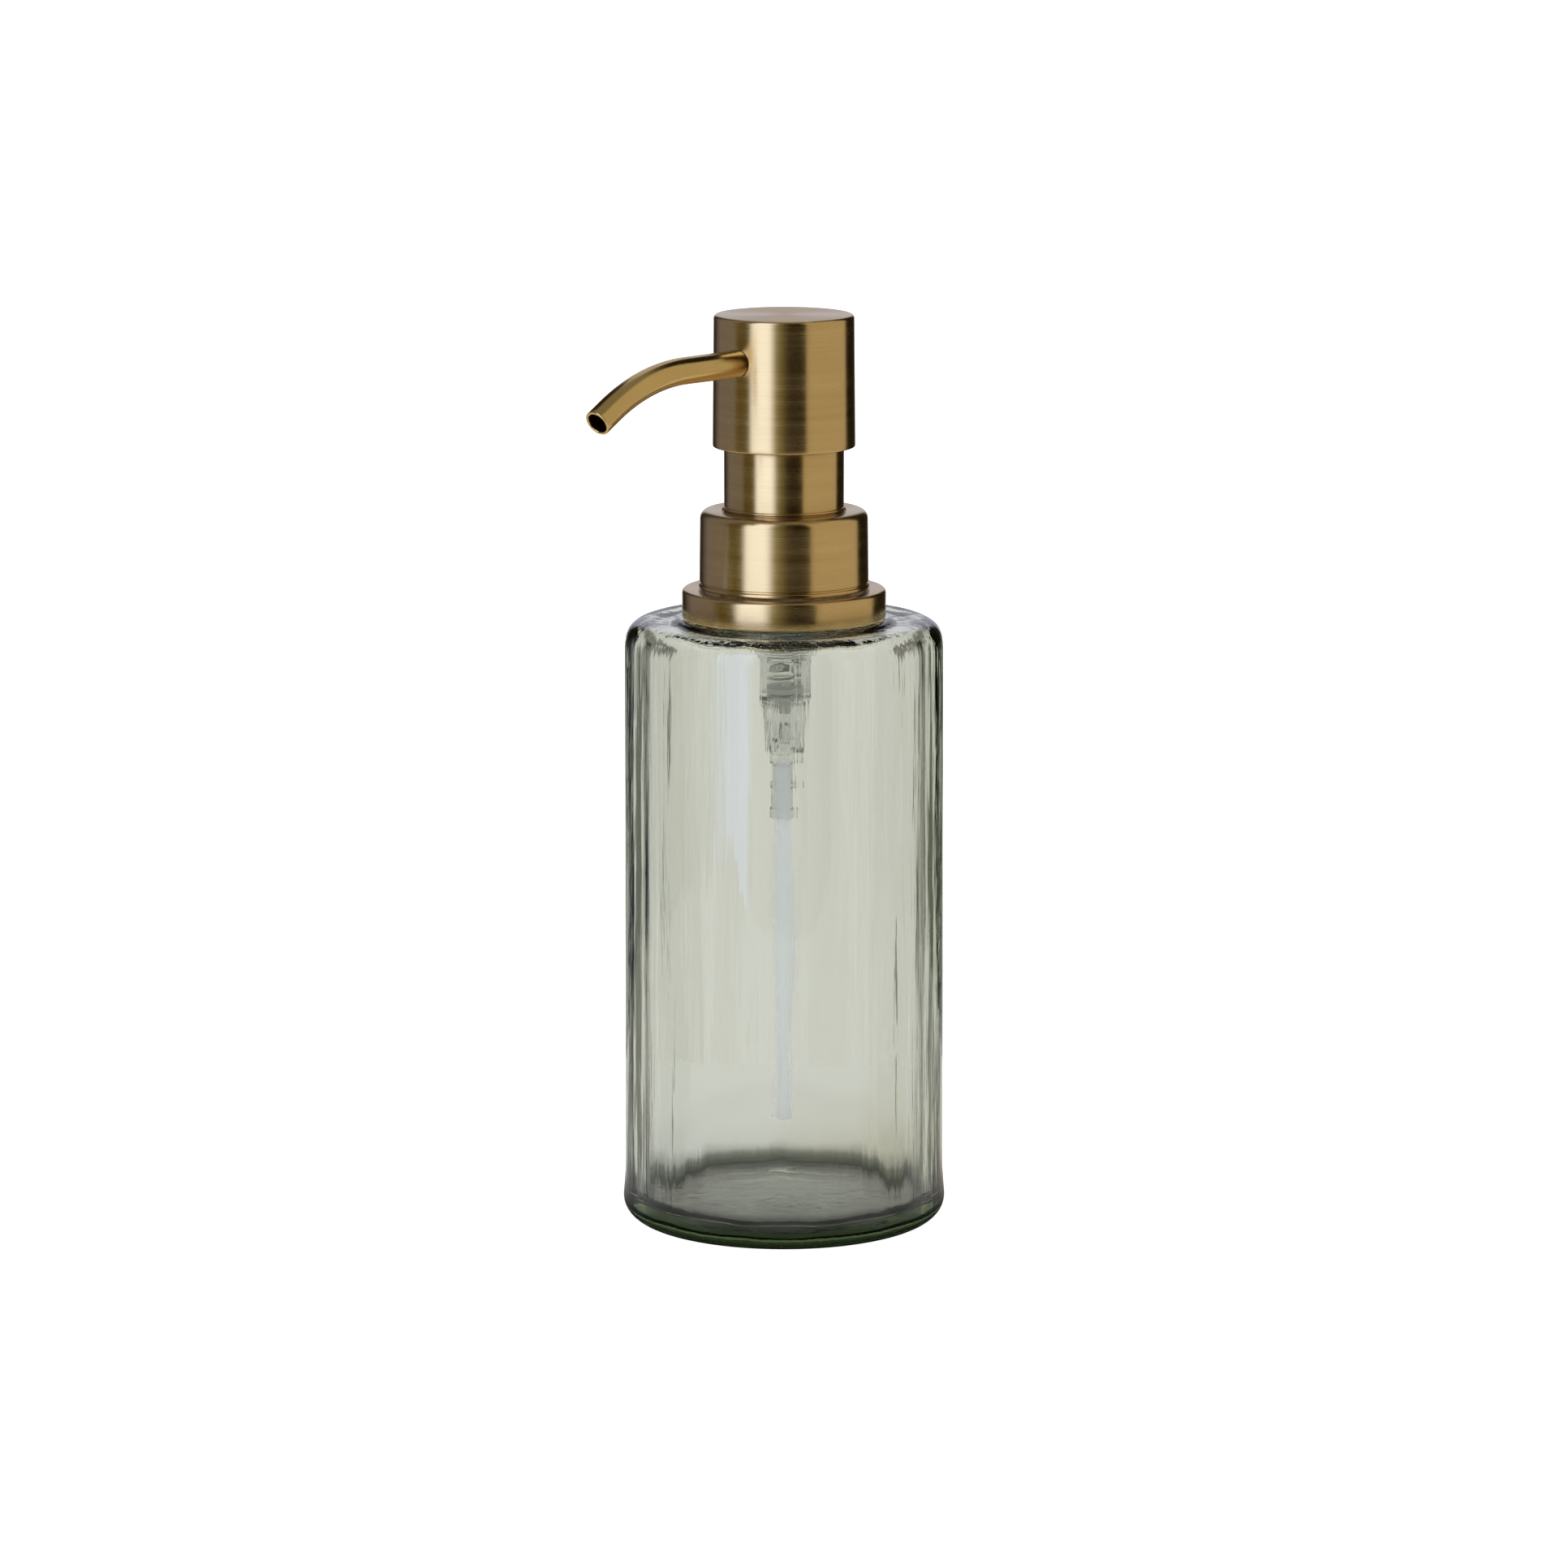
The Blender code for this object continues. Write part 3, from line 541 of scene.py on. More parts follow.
def make_sage_glass():
    made, tree, shader = new_material("sage_glass", Transmission_Weight=1.0, IOR=1.5, Metallic=0.0)
    place = add(tree, "TexCoord").outputs["Object"]
    spot = add(tree, "SeparateXYZ", {0: place}).outputs
    surface = add(tree, "NewGeometry").outputs
    grazing = add(tree, "LayerWeight", {"Blend": 0.5}).outputs["Facing"]
    across = distance_from_axis(tree, spot)
    outer_skin = add(tree, "MapRange", {"Value": across, "From Min": (BETWEEN_SKINS_R - 0.2) * MM,
                                        "From Max": (BETWEEN_SKINS_R + 0.3) * MM}).outputs["Result"]

    smears = noise_at(tree, place, 55.0, Detail=5.0, Distortion=0.6)
    tree.links.new(ramp(tree, smears, [(0.52, 0.0), (0.85, 0.07)]), shader.inputs["Roughness"])
    tint = skin_smears_and_painted_shade(tree, place, spot["Z"], smears, outer_skin)
    leaving = leaving_after_reflection(tree, surface["Backfacing"], outer_skin)
    # Painted shade and a painted light strip where light reflected inside the wall leaves the outer skin.
    tint = blend_colours(tree, leaving, tint, ramp(tree, grazing, THROWN_BACK_PAINTED))
    # Painted shade: the glass's colour turns almost black where an upright skin is turned away.
    edge = grazing_edge_shade(tree, grazing, surface["Normal"], outer_skin)
    tree.links.new(blend_colours(tree, edge, tint, PAINTED_EDGE_SHADE), shader.inputs["Base Color"])

    upright = add(tree, "Mapping", {"Vector": place, "Scale": (1.0, 1.0, 0.05)}).outputs["Vector"]
    link_bump(tree, shader, noise_at(tree, upright, 420.0, Detail=3.0), 0.6, 0.00022)
    depth = add(tree, "VolumeAbsorption", {"Color": GLASS_COLOUR, "Density": GLASS_DENSITY})
    tree.links.new(depth.outputs["Volume"], tree.nodes["Material Output"].inputs["Volume"])
    return made


sage_glass = make_sage_glass()
print("material:", sage_glass.name)

# %% [markdown]
# The works are moulded plastic. White parts are opaque with a soft sheen, the barrel is
# natural polypropylene, which is clear with a haze, and the suction tube is milky. Light that
# enters milky plastic scatters about inside and comes out everywhere. The white and the milky
# parts get little light inside the bottle, so they glow faintly in their own colour: painted
# light, which stands for that scattered light and for the light that reaches them through the glass.

# %% Plastics
def make_plastic(name, light, dark, rough_low, rough_high, size=1200.0, **values):
    """A moulded plastic. Its grain moves the colour and the roughness, and lifts the surface."""
    made, tree, shader = new_material(name, **values)
    grain = place_group(tree, fine_grain, Size=size, Contrast=1.6)
    tone = blend_colours(tree, grain["Value"], dark, light)
    tree.links.new(tone, shader.inputs["Base Color"])
    # The grain's colour is also the colour of the painted glow of plastics that have an Emission Strength.
    tree.links.new(tone, shader.inputs["Emission Color"])
    tree.links.new(scaled(tree, grain["Value"], rough_low, rough_high), shader.inputs["Roughness"])
    link_bump(tree, shader, grain["Height"], 0.12, 0.00006)
    return made


# Painted light: the white parts glow faintly.
white_plastic = make_plastic(
    "white_plastic", (0.84, 0.84, 0.82, 1.0), (0.74, 0.74, 0.71, 1.0), 0.32, 0.48, Emission_Strength=0.12)
clear_plastic = make_plastic(
    "clear_plastic", (0.97, 0.98, 0.97, 1.0), (0.92, 0.93, 0.92, 1.0), 0.10, 0.26,
    Transmission_Weight=1.0, IOR=1.49, Metallic=0.0)
# Painted light: the milky parts glow faintly.
frosted_plastic = make_plastic(
    "frosted_plastic", (0.93, 0.945, 0.955, 1.0), (0.86, 0.875, 0.89, 1.0), 0.30, 0.45,
    Transmission_Weight=0.5, IOR=1.49, Metallic=0.0, Emission_Strength=0.16)
seal_rubber = make_plastic(
    "seal_rubber", (0.060, 0.058, 0.056, 1.0), (0.028, 0.027, 0.026, 1.0), 0.60, 0.80, size=2400.0)
print("plastics:", [m.name for m in (white_plastic, clear_plastic, frosted_plastic, seal_rubber)])

# %% [markdown]
# The spring is bright drawn wire and the inlet valve is a glass marble. Both are small and
# show only through two clear walls, but each still gets a surface of its own.

# %% Spring steel and valve glass
def make_spring_steel():
    made, tree, shader = new_material("spring_steel", Metallic=1.0)
    grain = place_group(tree, fine_grain, Size=3000.0, Contrast=1.5)
    tone = blend_colours(tree, grain["Value"], (0.42, 0.42, 0.43, 1.0), (0.68, 0.68, 0.67, 1.0))
    tree.links.new(tone, shader.inputs["Base Color"])
    tree.links.new(scaled(tree, grain["Value"], 0.16, 0.34), shader.inputs["Roughness"])
    return made


def make_ball_glass():
    made, tree, shader = new_material("ball_glass", Transmission_Weight=1.0, IOR=1.52, Metallic=0.0)
    grain = place_group(tree, fine_grain, Size=2000.0, Contrast=1.0)
    tone = blend_colours(tree, grain["Value"], (0.84, 0.90, 0.90, 1.0), (0.94, 0.97, 0.97, 1.0))
    tree.links.new(tone, shader.inputs["Base Color"])
    tree.links.new(scaled(tree, grain["Value"], 0.0, 0.06), shader.inputs["Roughness"])
    return made


spring_steel = make_spring_steel()
ball_glass = make_ball_glass()
print("materials:", spring_steel.name, ball_glass.name)

# %% [markdown]
# The bottle is pressed glass: two skins with solid glass between them. Its profile is grown in
# one go, from the middle of the underside, round the heel, up the wall, over the shoulder, up
# the neck, over the lip, and down the inside to the middle of the floor. The flutes come
# afterwards: both skins are pushed in between the twelve ridges, and less where the flutes run
# out on the heel and the shoulder. Subtracting twelve cylinders would leave sharp ridges, and
# these are soft waves.

# %% Bottle profile
BODY_R = 33.24
BODY_DRAFT = 0.3
BODY_H = 124.5
HEEL_R = 5.0
SHOULDER_R = 5.4
SEAT_Z = 124.7
NECK_ROOT_R = 12.95
NECK_FILLET_R = 4.0
BORE_R = 9.4
LIP_Z = span("neck_gasket")[1] - 0.3
LIP_EASE = 0.6
INNER_R = 28.9
INNER_TOP_R = 28.7
FLOOR_Z = 4.3
CEILING_Z = 121.9
INNER_CORNER_R = 3.2
CEILING_CORNER_R = 1.3
THROAT_R = 2.2
TOP_R = BODY_R - BODY_DRAFT


def bottle_rows():
    """Rows from the middle of the underside, round the outside and the lip, to the middle of the floor."""
    heel = arc(BODY_R - HEEL_R, HEEL_R, HEEL_R, -90, 0, 12)
    shoulder = arc(TOP_R - SHOULDER_R, BODY_H - SHOULDER_R, SHOULDER_R, 0, 90, 14)
    pedestal = [(25.6, SEAT_Z - 0.45), (23.9, SEAT_Z - 0.7), (23.0, SEAT_Z - 0.75), (22.4, SEAT_Z - 0.6),
                (21.9, SEAT_Z - 0.3), (21.4, SEAT_Z - 0.08), (20.8, SEAT_Z)]
    fillet_r = NECK_ROOT_R + NECK_FILLET_R
    neck = arc(fillet_r, SEAT_Z + NECK_FILLET_R, NECK_FILLET_R, 270, 180, 8)
    lip = arc(NECK_ROOT_R - LIP_EASE, LIP_Z - LIP_EASE, LIP_EASE, 0, 90, 4)
    mouth = arc(BORE_R + LIP_EASE, LIP_Z - LIP_EASE, LIP_EASE, 90, 180, 4)
    throat = arc(BORE_R + THROAT_R, CEILING_Z + THROAT_R, THROAT_R, 180, 270, 8)
    ceiling = [(15.0, CEILING_Z - 0.05), (19.0, CEILING_Z - 0.1), (22.5, CEILING_Z - 0.05)]
    top_corner = arc(INNER_TOP_R - CEILING_CORNER_R, CEILING_Z - CEILING_CORNER_R, CEILING_CORNER_R,
                     90, 0, 9)
    floor_corner = arc(INNER_R - INNER_CORNER_R, FLOOR_Z + INNER_CORNER_R, INNER_CORNER_R, 0, -90, 9)
    underside = [(4.0, 0.85), (10.0, 0.82), (16.0, 0.66), (20.0, 0.42), (23.0, 0.14), (25.0, 0.03)]
    floor = [(21.0, FLOOR_Z + 0.05), (15.0, FLOOR_Z + 0.3), (9.0, FLOOR_Z + 0.5), (4.0, FLOOR_Z + 0.6)]
    outside = underside + heel + shoulder + pedestal + neck + lip
    return outside + mouth + throat + ceiling + top_corner + floor_corner + floor


def grow_bottle():
    piece = turned("fluted_bottle", bottle_rows(), sides=288, fill_start=True, fill_end=True)
    cut_wall(piece, HEEL_R, BODY_H - SHOULDER_R, 34)
    cut_wall(piece, FLOOR_Z + INNER_CORNER_R, CEILING_Z - CEILING_CORNER_R, 30)
    cut_wall(piece, SEAT_Z + NECK_FILLET_R, LIP_Z - LIP_EASE, 40)
    cut_wall(piece, CEILING_Z + THROAT_R, LIP_Z - LIP_EASE, 4)
    return piece


bottle = grow_bottle()
print("bottle rows make", len(bottle.data.polygons), "faces")

# %% Flutes
FLUTES = 12
FLUTE_TURN = math.radians(11)
FLUTE_DEPTH = 0.55
INNER_FLUTE_DEPTH = 0.15
RIDGE_SOFTNESS = 0.8
INNER_RIDGE_SOFTNESS = 0.25
# The flutes run out between these heights, and on the floor between these radii.
HEEL_FADE = (0.5, 13.0)
SHOULDER_FADE = (119.5, 123.8)
FLOOR_FADE = (20.0, 27.5)


def flute_wave(angle, rounding):
    """0 on a ridge and 1 in the middle of a flute. A larger rounding makes a softer ridge."""
    swing = math.cos(FLUTES / 2 * (angle - FLUTE_TURN))
    return (math.hypot(swing, rounding) - rounding) / (math.hypot(1.0, rounding) - rounding)


def is_inside(radius, height):
    """Whether a place is on the skin of the cavity."""
    return radius < BETWEEN_SKINS_R and FLOOR_Z - 0.5 < height < CEILING_Z + 0.5


def is_body(radius, height):
    """Whether a place is on the outer skin, under the neck."""
    return height <= SEAT_Z and not is_inside(radius, height)


def outer_flutes(radius, angle, height):
    if not is_body(radius, height):
        return 0.0
    fade = smooth_step(height, *HEEL_FADE) * (1.0 - smooth_step(height, *SHOULDER_FADE))
    return flute_wave(angle, RIDGE_SOFTNESS) * fade


def inner_flutes(radius, angle, height):
    if not is_inside(radius, height):
        return 0.0
    return flute_wave(angle, INNER_RIDGE_SOFTNESS) * smooth_step(radius, *FLOOR_FADE)


push_surface(bottle, "outer_flutes", -FLUTE_DEPTH, outer_flutes)
push_surface(bottle, "inner_flutes", INNER_FLUTE_DEPTH, inner_flutes)
print("flutes:", FLUTES)

# %% [markdown]
# Pressed glass is never true. Its two skins wander by a tenth or two of a millimetre, mostly in
# long upright waves, and those make the streaks that show through the walls. The same weights
# carry a noise pattern here. Every wave goes inwards, so that the bottle keeps its size.
# The neck's thread is a helix: a ridge whose height grows with the angle round the neck.

# %% Waves and thread
PITCH = 4.233
THREAD_RISE = 0.72
THREAD_LOW = 130.2
THREAD_HIGH = 139.8
THREAD_RUN_OUT = 1.2
CREST_HALF = 0.25
RIDGE_HALF = 0.85
WAVE_DEPTH = 0.16


def wave_at(radius, angle, height, across, upright):
    """Noise from 0 to 1, across millimetres wide and upright millimetres high."""
    spot = Vector((radius * math.cos(angle) / across, radius * math.sin(angle) / across, height / upright))
    return 0.5 + 0.5 * noise.noise(spot)


def outer_waves(radius, angle, height):
    on_skin = smooth_step(height, 1.0, 8.0) if is_body(radius, height) else 0.0
    return on_skin * wave_at(radius, angle, height, 6.0, 30.0)


def inner_waves(radius, angle, height):
    on_skin = 1.0 - smooth_step(height, 110.0, 119.5) if is_inside(radius, height) else 0.0
    return on_skin * wave_at(radius, angle, height + 300.0, 3.0, 26.0)


def thread_ridge(angle, height, low, high, start=0.0):
    """1 on the crest of a right-handed thread, and 0 between its turns."""
    turns = (height - start) / PITCH - angle / math.tau
    off_crest = abs(turns - round(turns)) * PITCH
    run_out = smooth_step(height, low, low + THREAD_RUN_OUT)
    run_out *= 1.0 - smooth_step(height, high - THREAD_RUN_OUT, high)
    return run_out * (1.0 - smooth_step(off_crest, CREST_HALF, RIDGE_HALF))


def neck_thread(radius, angle, height):
    on_neck = 1.0 if radius > 12.0 and height > SEAT_Z + NECK_FILLET_R else 0.0
    return on_neck * thread_ridge(angle, height, THREAD_LOW, THREAD_HIGH)


push_surface(bottle, "outer_waves", -WAVE_DEPTH, outer_waves)
push_surface(bottle, "inner_waves", WAVE_DEPTH, inner_waves)
push_surface(bottle, "neck_thread", THREAD_RISE, neck_thread)
shade(bottle, 60)
finish(bottle, sage_glass, "bottle", "bottle_glass", "glass_bottle")

# %% [markdown]
# The brass ring is a pressed dish, upside down, bonded over the foot of the neck. Its profile is
# grown with sharp corners and a constant sheet, and its corners are bevelled afterwards as the
# press would round them: wide where the sheet was drawn, small where it was trimmed.

# %% Shoulder ring
def close(rows):
    """The rows with the first one again at the end, so that the piece closes on itself."""
    return rows + rows[:1]


def make_ring():
    radius, foot, top = span("base_ring")
    bore = 14.35
    sheet = 1.0
    piece = turned("shoulder_ring", close([
        (radius - sheet, foot), (radius, foot), (radius, top), (bore, top), (bore, top - sheet),
        (radius - sheet, top - sheet)]))
    round_corner(piece, radius, top, 0.75, 6)
    round_corner(piece, radius, foot, 0.3, 3)
    round_corner(piece, bore, top, 0.2, 2)
    shade(piece)
    finish(piece, brushed_brass, "bottle", "brushed_brass", "base_ring")


make_ring()

# %% [markdown]
# The closure is a drawn brass shell pressed over the plastic screw cap. At its foot the sheet is
# rolled: a narrow bead stands out, with a fine groove above it. The groove and the bead are rows
# of the profile, because a bump in the material would vanish at the silhouette.

# %% Closure shell
SHELL_SHEET = 0.6
CLOSURE_HOLE_R = 12.55


def make_closure():
    radius, foot, top = span("closure_shell")
    upper = radius - 0.3
    inner = upper - SHELL_SHEET
    ceiling = top - 0.7
    bead_top = foot + 0.75
    groove = radius - 0.32
    piece = turned("brass_closure", close([
        (radius - SHELL_SHEET, foot), (radius, foot), (radius, bead_top), (groove, bead_top + 0.2),
        (groove, bead_top + 0.45), (radius - 0.12, bead_top + 0.65), (upper, top), (CLOSURE_HOLE_R, top),
        (CLOSURE_HOLE_R, ceiling), (inner, ceiling), (inner, bead_top + 0.85)]))
    round_corner(piece, upper, top, 1.7, 10)
    round_corner(piece, radius, foot, 0.25, 3)
    round_corner(piece, radius, bead_top, 0.15, 2)
    round_corner(piece, CLOSURE_HOLE_R, top, 0.2, 2)
    round_corner(piece, inner, ceiling, 0.9, 4)
    shade(piece)
    finish(piece, brushed_brass, "closure", "brushed_brass", "closure_shell")


make_closure()

# %% [markdown]
# The sleeve is a length of brass tube with a small bead where it meets the closure. The head
# comes down over it. The head is a drawn cup: its wall is cut into rows before the spout's hole
# is cut, so that the faces that the hole spoils are small and the rest stay smooth.

# %% Sleeve
def make_sleeve():
    radius, foot, top = span("stem_sleeve")
    sheet = 0.6
    bead = radius + 0.3
    seat = span("closure_shell")[2] + 0.15
    piece = turned("brass_sleeve", close([
        (radius - sheet, foot), (radius, foot), (radius, seat), (bead, seat + 0.12), (bead, seat + 0.48),
        (radius, seat + 0.6), (radius, top), (radius - sheet, top)]))
    round_corner(piece, bead, seat + 0.12, 0.1, 3)
    round_corner(piece, bead, seat + 0.48, 0.1, 3)
    round_corner(piece, radius, top, 0.15, 2)
    shade(piece)
    finish(piece, brushed_brass, "pump", "brushed_brass", "stem_sleeve")


make_sleeve()

# %% Head
SPOUT_Z = 177.8
SPOUT_R = 2.75
HOLE_GAP = 0.12
SOCKET_GAP = 0.3


def subtract(piece, cutter):
    """Cuts one piece with another, which is then gone."""
    cut = piece.modifiers.new("cut", "BOOLEAN")
    cut.object = cutter
    cut.solver = "EXACT"
    apply_modifiers(piece)
    bpy.data.objects.remove(cutter)


def lay_down(rod):
    """Turns an upright piece forward on its side, and lifts it to the spout's height."""
    make_active(rod)
    bpy.ops.object.mode_set(mode="EDIT")
    bpy.ops.mesh.select_all(action="SELECT")
    bpy.ops.transform.rotate(value=math.radians(-90), orient_axis="X", center_override=(0.0, 0.0, 0.0))
    bpy.ops.transform.translate(value=(0.0, 0.0, SPOUT_Z * MM))
    bpy.ops.object.mode_set(mode="OBJECT")
    return rod


def side_rod(name, radius, start, end):
    """A rod that points forward at the spout's height, from one distance to another."""
    return lay_down(turned(name, [(radius, start), (radius, end)], 48, fill_start=True, fill_end=True))


def make_head():
    radius, foot, top = span("head_shell")
    upper = radius - 0.25
    sheet = 0.8
    ceiling = top - 1.0
    piece = turned("brass_head", [
        (3.0, top), (9.0, top), (upper, top), (radius, foot), (radius - sheet, foot),
        (upper - sheet, ceiling), (3.0, ceiling)], fill_start=True, fill_end=True)
    cut_wall(piece, foot, top, 26)
    cut_wall(piece, foot, ceiling, 26)
    round_corner(piece, upper, top, 0.7, 6)
    round_corner(piece, radius, foot, 0.25, 3)
    round_corner(piece, radius - sheet, foot, 0.15, 2)
    subtract(piece, side_rod("hole", SPOUT_R + HOLE_GAP, 10.0, 17.0))
    shade(piece)
    finish(piece, brushed_brass, "head", "brushed_brass", "head_shell")


make_head()

# %% [markdown]
# The spout is bent tube. It could be a curve with a bevel, but a pipe bender works as Spin does:
# hold the end of a straight tube and sweep it round a centre. So a circle is extruded straight,
# spun through the bend, and extruded again for the tip. Solidify then gives the wall its
# thickness, and the rim at the outlet is bevelled.

# %% Spout
SPOUT_WALL = 0.6
SPOUT_ROOT = 4.6
SPOUT_LEVEL = 30.0
SPOUT_BEND_R = 44.0
SPOUT_BEND = math.radians(30)
SPOUT_TIP = 4.2


def extrude_run(forward, down, steps):
    """Extrudes what is selected in equal steps, by so much in all."""
    for _ in range(steps):
        bpy.ops.mesh.extrude_region_move(
            TRANSFORM_OT_translate={"value": (0.0, -forward * MM / steps, -down * MM / steps)})


def make_spout():
    deselect_all()
    bpy.ops.mesh.primitive_circle_add(vertices=64, radius=SPOUT_R * MM, rotation=(math.pi / 2, 0.0, 0.0),
                                      location=(0.0, -SPOUT_ROOT * MM, SPOUT_Z * MM))
    piece = bpy.context.object
    piece.name = "brass_spout"
    piece.data.name = "brass_spout"
    bpy.ops.object.transform_apply(location=True, rotation=True)
    bpy.ops.object.mode_set(mode="EDIT")
    bpy.ops.mesh.select_mode(type="EDGE")
    bpy.ops.mesh.select_all(action="SELECT")
    extrude_run(SPOUT_LEVEL - SPOUT_ROOT, 0.0, 12)
    bend_centre = (0.0, -SPOUT_LEVEL * MM, (SPOUT_Z - SPOUT_BEND_R) * MM)
    bpy.ops.mesh.spin(steps=16, angle=-SPOUT_BEND, center=bend_centre, axis=(1.0, 0.0, 0.0))
    extrude_run(SPOUT_TIP * math.cos(SPOUT_BEND), SPOUT_TIP * math.sin(SPOUT_BEND), 3)
    bpy.ops.mesh.select_all(action="SELECT")
    bpy.ops.mesh.remove_doubles(threshold=0.001 * MM)
    bpy.ops.mesh.normals_make_consistent(inside=False)
    bpy.ops.object.mode_set(mode="OBJECT")
    wall = piece.modifiers.new("wall", "SOLIDIFY")
    wall.thickness = SPOUT_WALL * MM
    wall.offset = -1.0
    wall.use_even_offset = True
    apply_modifiers(piece)
    return piece


spout = make_spout()
print("spout reaches", round(min(point.co.y for point in spout.data.vertices) / MM, 2), "mm")

# %% Spout's rim
def ease_rim(piece):
    """Bevels the two ring edges at the outlet."""
    along = Vector((0.0, -math.cos(SPOUT_BEND), -math.sin(SPOUT_BEND)))
    reach = max(point.co.dot(along) for point in piece.data.vertices)
    make_active(piece)
    bpy.ops.object.mode_set(mode="EDIT")
    bpy.ops.mesh.select_mode(type="EDGE")
    bpy.ops.mesh.select_all(action="DESELECT")
    shape = bmesh.from_edit_mesh(piece.data)
    for edge in shape.edges:
        at_end = all(reach - end.co.dot(along) < 0.01 * MM for end in edge.verts)
        edge.select_set(at_end and any(len(face.verts) == 4 and face.normal.dot(along) < 0.5
                                       for face in edge.link_faces))
    bmesh.update_edit_mesh(piece.data)
    bpy.ops.mesh.bevel(offset=0.17 * MM, offset_type="OFFSET", segments=3, affect="EDGES")
    bpy.ops.object.mode_set(mode="OBJECT")


ease_rim(spout)
shade(spout)
finish(spout, satin_brass, "head", "satin_brass", "spout_tube")

# %% [markdown]
# The works. The barrel is moulded in clear plastic: a flange on top, the cylinder that the
# piston slides in, a taper with upright ribs round the valve seat, and a stepped tail that grips
# the suction tube. The ribs are made like the flutes, by pushing the taper in between them.

# %% Barrel housing
RIBS = 12
BARREL_R = 6.4
SHELF_Z = 109.0
TAPER_FOOT_Z = 97.3
TAPER_TOP_Z = 107.9
RIB_DEPTH = 0.75
TAIL_R = 3.85
TAIL_GROOVE_R = 3.55
TAIL_GROOVES = [(85.6, 90.0), (90.9, 95.0)]


def housing_inside(foot, top):
    """Down the bore that the piston slides in, past the valve, and out through the tube's socket."""
    bore = 5.2
    well = 3.0
    inlet = 1.5
    socket = 2.95
    return [(bore, top), (bore, SHELF_Z), (well, SHELF_Z), (well, 100.6), (inlet, 99.4), (inlet, 95.5),
            (socket, 95.5), (socket, foot)]


def make_housing():
    radius, foot, top = span("pump_housing")
    tail = [(TAIL_R, foot)]
    for low, high in TAIL_GROOVES:
        tail += [(TAIL_R, low), (TAIL_GROOVE_R, low + 0.4), (TAIL_GROOVE_R, high - 0.4), (TAIL_R, high)]
    waist = 6.15
    flange = top - 1.2
    barrel = [
        (TAIL_R, TAPER_FOOT_Z), (4.6, TAPER_FOOT_Z), (5.95, TAPER_TOP_Z), (BARREL_R, TAPER_TOP_Z + 0.3),
        (BARREL_R, SHELF_Z + 0.5), (waist, SHELF_Z + 0.9), (waist, flange - 1.2), (BARREL_R, flange),
        (radius, flange), (radius, top)]
    piece = turned("barrel_housing", close(tail + barrel + housing_inside(foot, top)), sides=144)
    cut_wall(piece, TAPER_FOOT_Z, TAPER_TOP_Z, 8)

    def between_ribs(radius, angle, height):
        on_taper = 1.0 if radius > 4.2 and TAPER_FOOT_Z + 0.1 < height < TAPER_TOP_Z - 0.1 else 0.0
        return on_taper * smooth_step(math.cos(RIBS * angle), -0.5, 0.3)

    push_surface(piece, "between_ribs", -RIB_DEPTH, between_ribs)
    round_corner(piece, radius, top, 0.2, 2)
    shade(piece, 30)
    finish(piece, clear_plastic, "pump", "clear_plastic", "pump_housing")


make_housing()

# %% [markdown]
# The suction tube is milky extruded plastic, cut at the foot. The coil spring is one wire
# section screwed up its axis. Its end turns lie closer, as they do on a spring that has to
# stand straight, so the height of every point is eased after the Screw modifier. When the head
# is pressed the plunger's foot comes down 12 mm.

# %% Suction tube
def make_suction_tube():
    radius, foot, top = span("dip_tube")
    bore = 1.95
    piece = turned("suction_tube", close([(bore, foot), (radius, foot), (radius, top), (bore, top)]),
                   sides=64)
    cut_wall(piece, foot, top, 24)
    round_corner(piece, radius, foot, 0.15, 2)
    round_corner(piece, radius, top, 0.15, 2)
    shade(piece)
    finish(piece, frosted_plastic, "pump", "frosted_plastic", "dip_tube")


make_suction_tube()

# %% Coil spring
WIRE_R = 0.45
SPRING_R = 4.0
SPRING_TURNS = 8
END_TURN_EASE = 0.6


def make_spring():
    foot, top = span("return_spring")[1:]
    rise = top - foot - 2 * WIRE_R
    deselect_all()
    bpy.ops.mesh.primitive_circle_add(vertices=14, radius=WIRE_R * MM, rotation=(math.pi / 2, 0.0, 0.0),
                                      location=(SPRING_R * MM, 0.0, 0.0))
    piece = bpy.context.object
    piece.name = "coil_spring"
    piece.data.name = "coil_spring"
    bpy.ops.object.transform_apply(location=True, rotation=True)
    coil = piece.modifiers.new("coil", "SCREW")
    coil.iterations = SPRING_TURNS
    coil.steps = 48
    coil.render_steps = 48
    coil.screw_offset = rise * MM / SPRING_TURNS
    coil.use_merge_vertices = False
    apply_modifiers(piece)
    for point in piece.data.vertices:
        share = point.co.z / (rise * MM)
        eased = -END_TURN_EASE * math.sin(math.tau * min(1.0, max(0.0, share))) / math.tau
        point.co.z += (foot + WIRE_R + eased * rise) * MM
    bpy.ops.object.mode_set(mode="EDIT")
    bpy.ops.mesh.select_all(action="SELECT")
    bpy.ops.mesh.fill_holes(sides=16)
    bpy.ops.mesh.normals_make_consistent(inside=False)
    bpy.ops.object.mode_set(mode="OBJECT")
    shade(piece, 50)
    finish(piece, spring_steel, "pump", "spring_steel", "return_spring")
    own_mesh(piece)


make_spring()

# %% [markdown]
# The valve: a glass ball on a seat in the barrel, kept in by a cage. Above it the plunger's rod
# passes up into the hollow stem, and the sliding seal between them has a thin lip at each end
# that wipes the barrel.

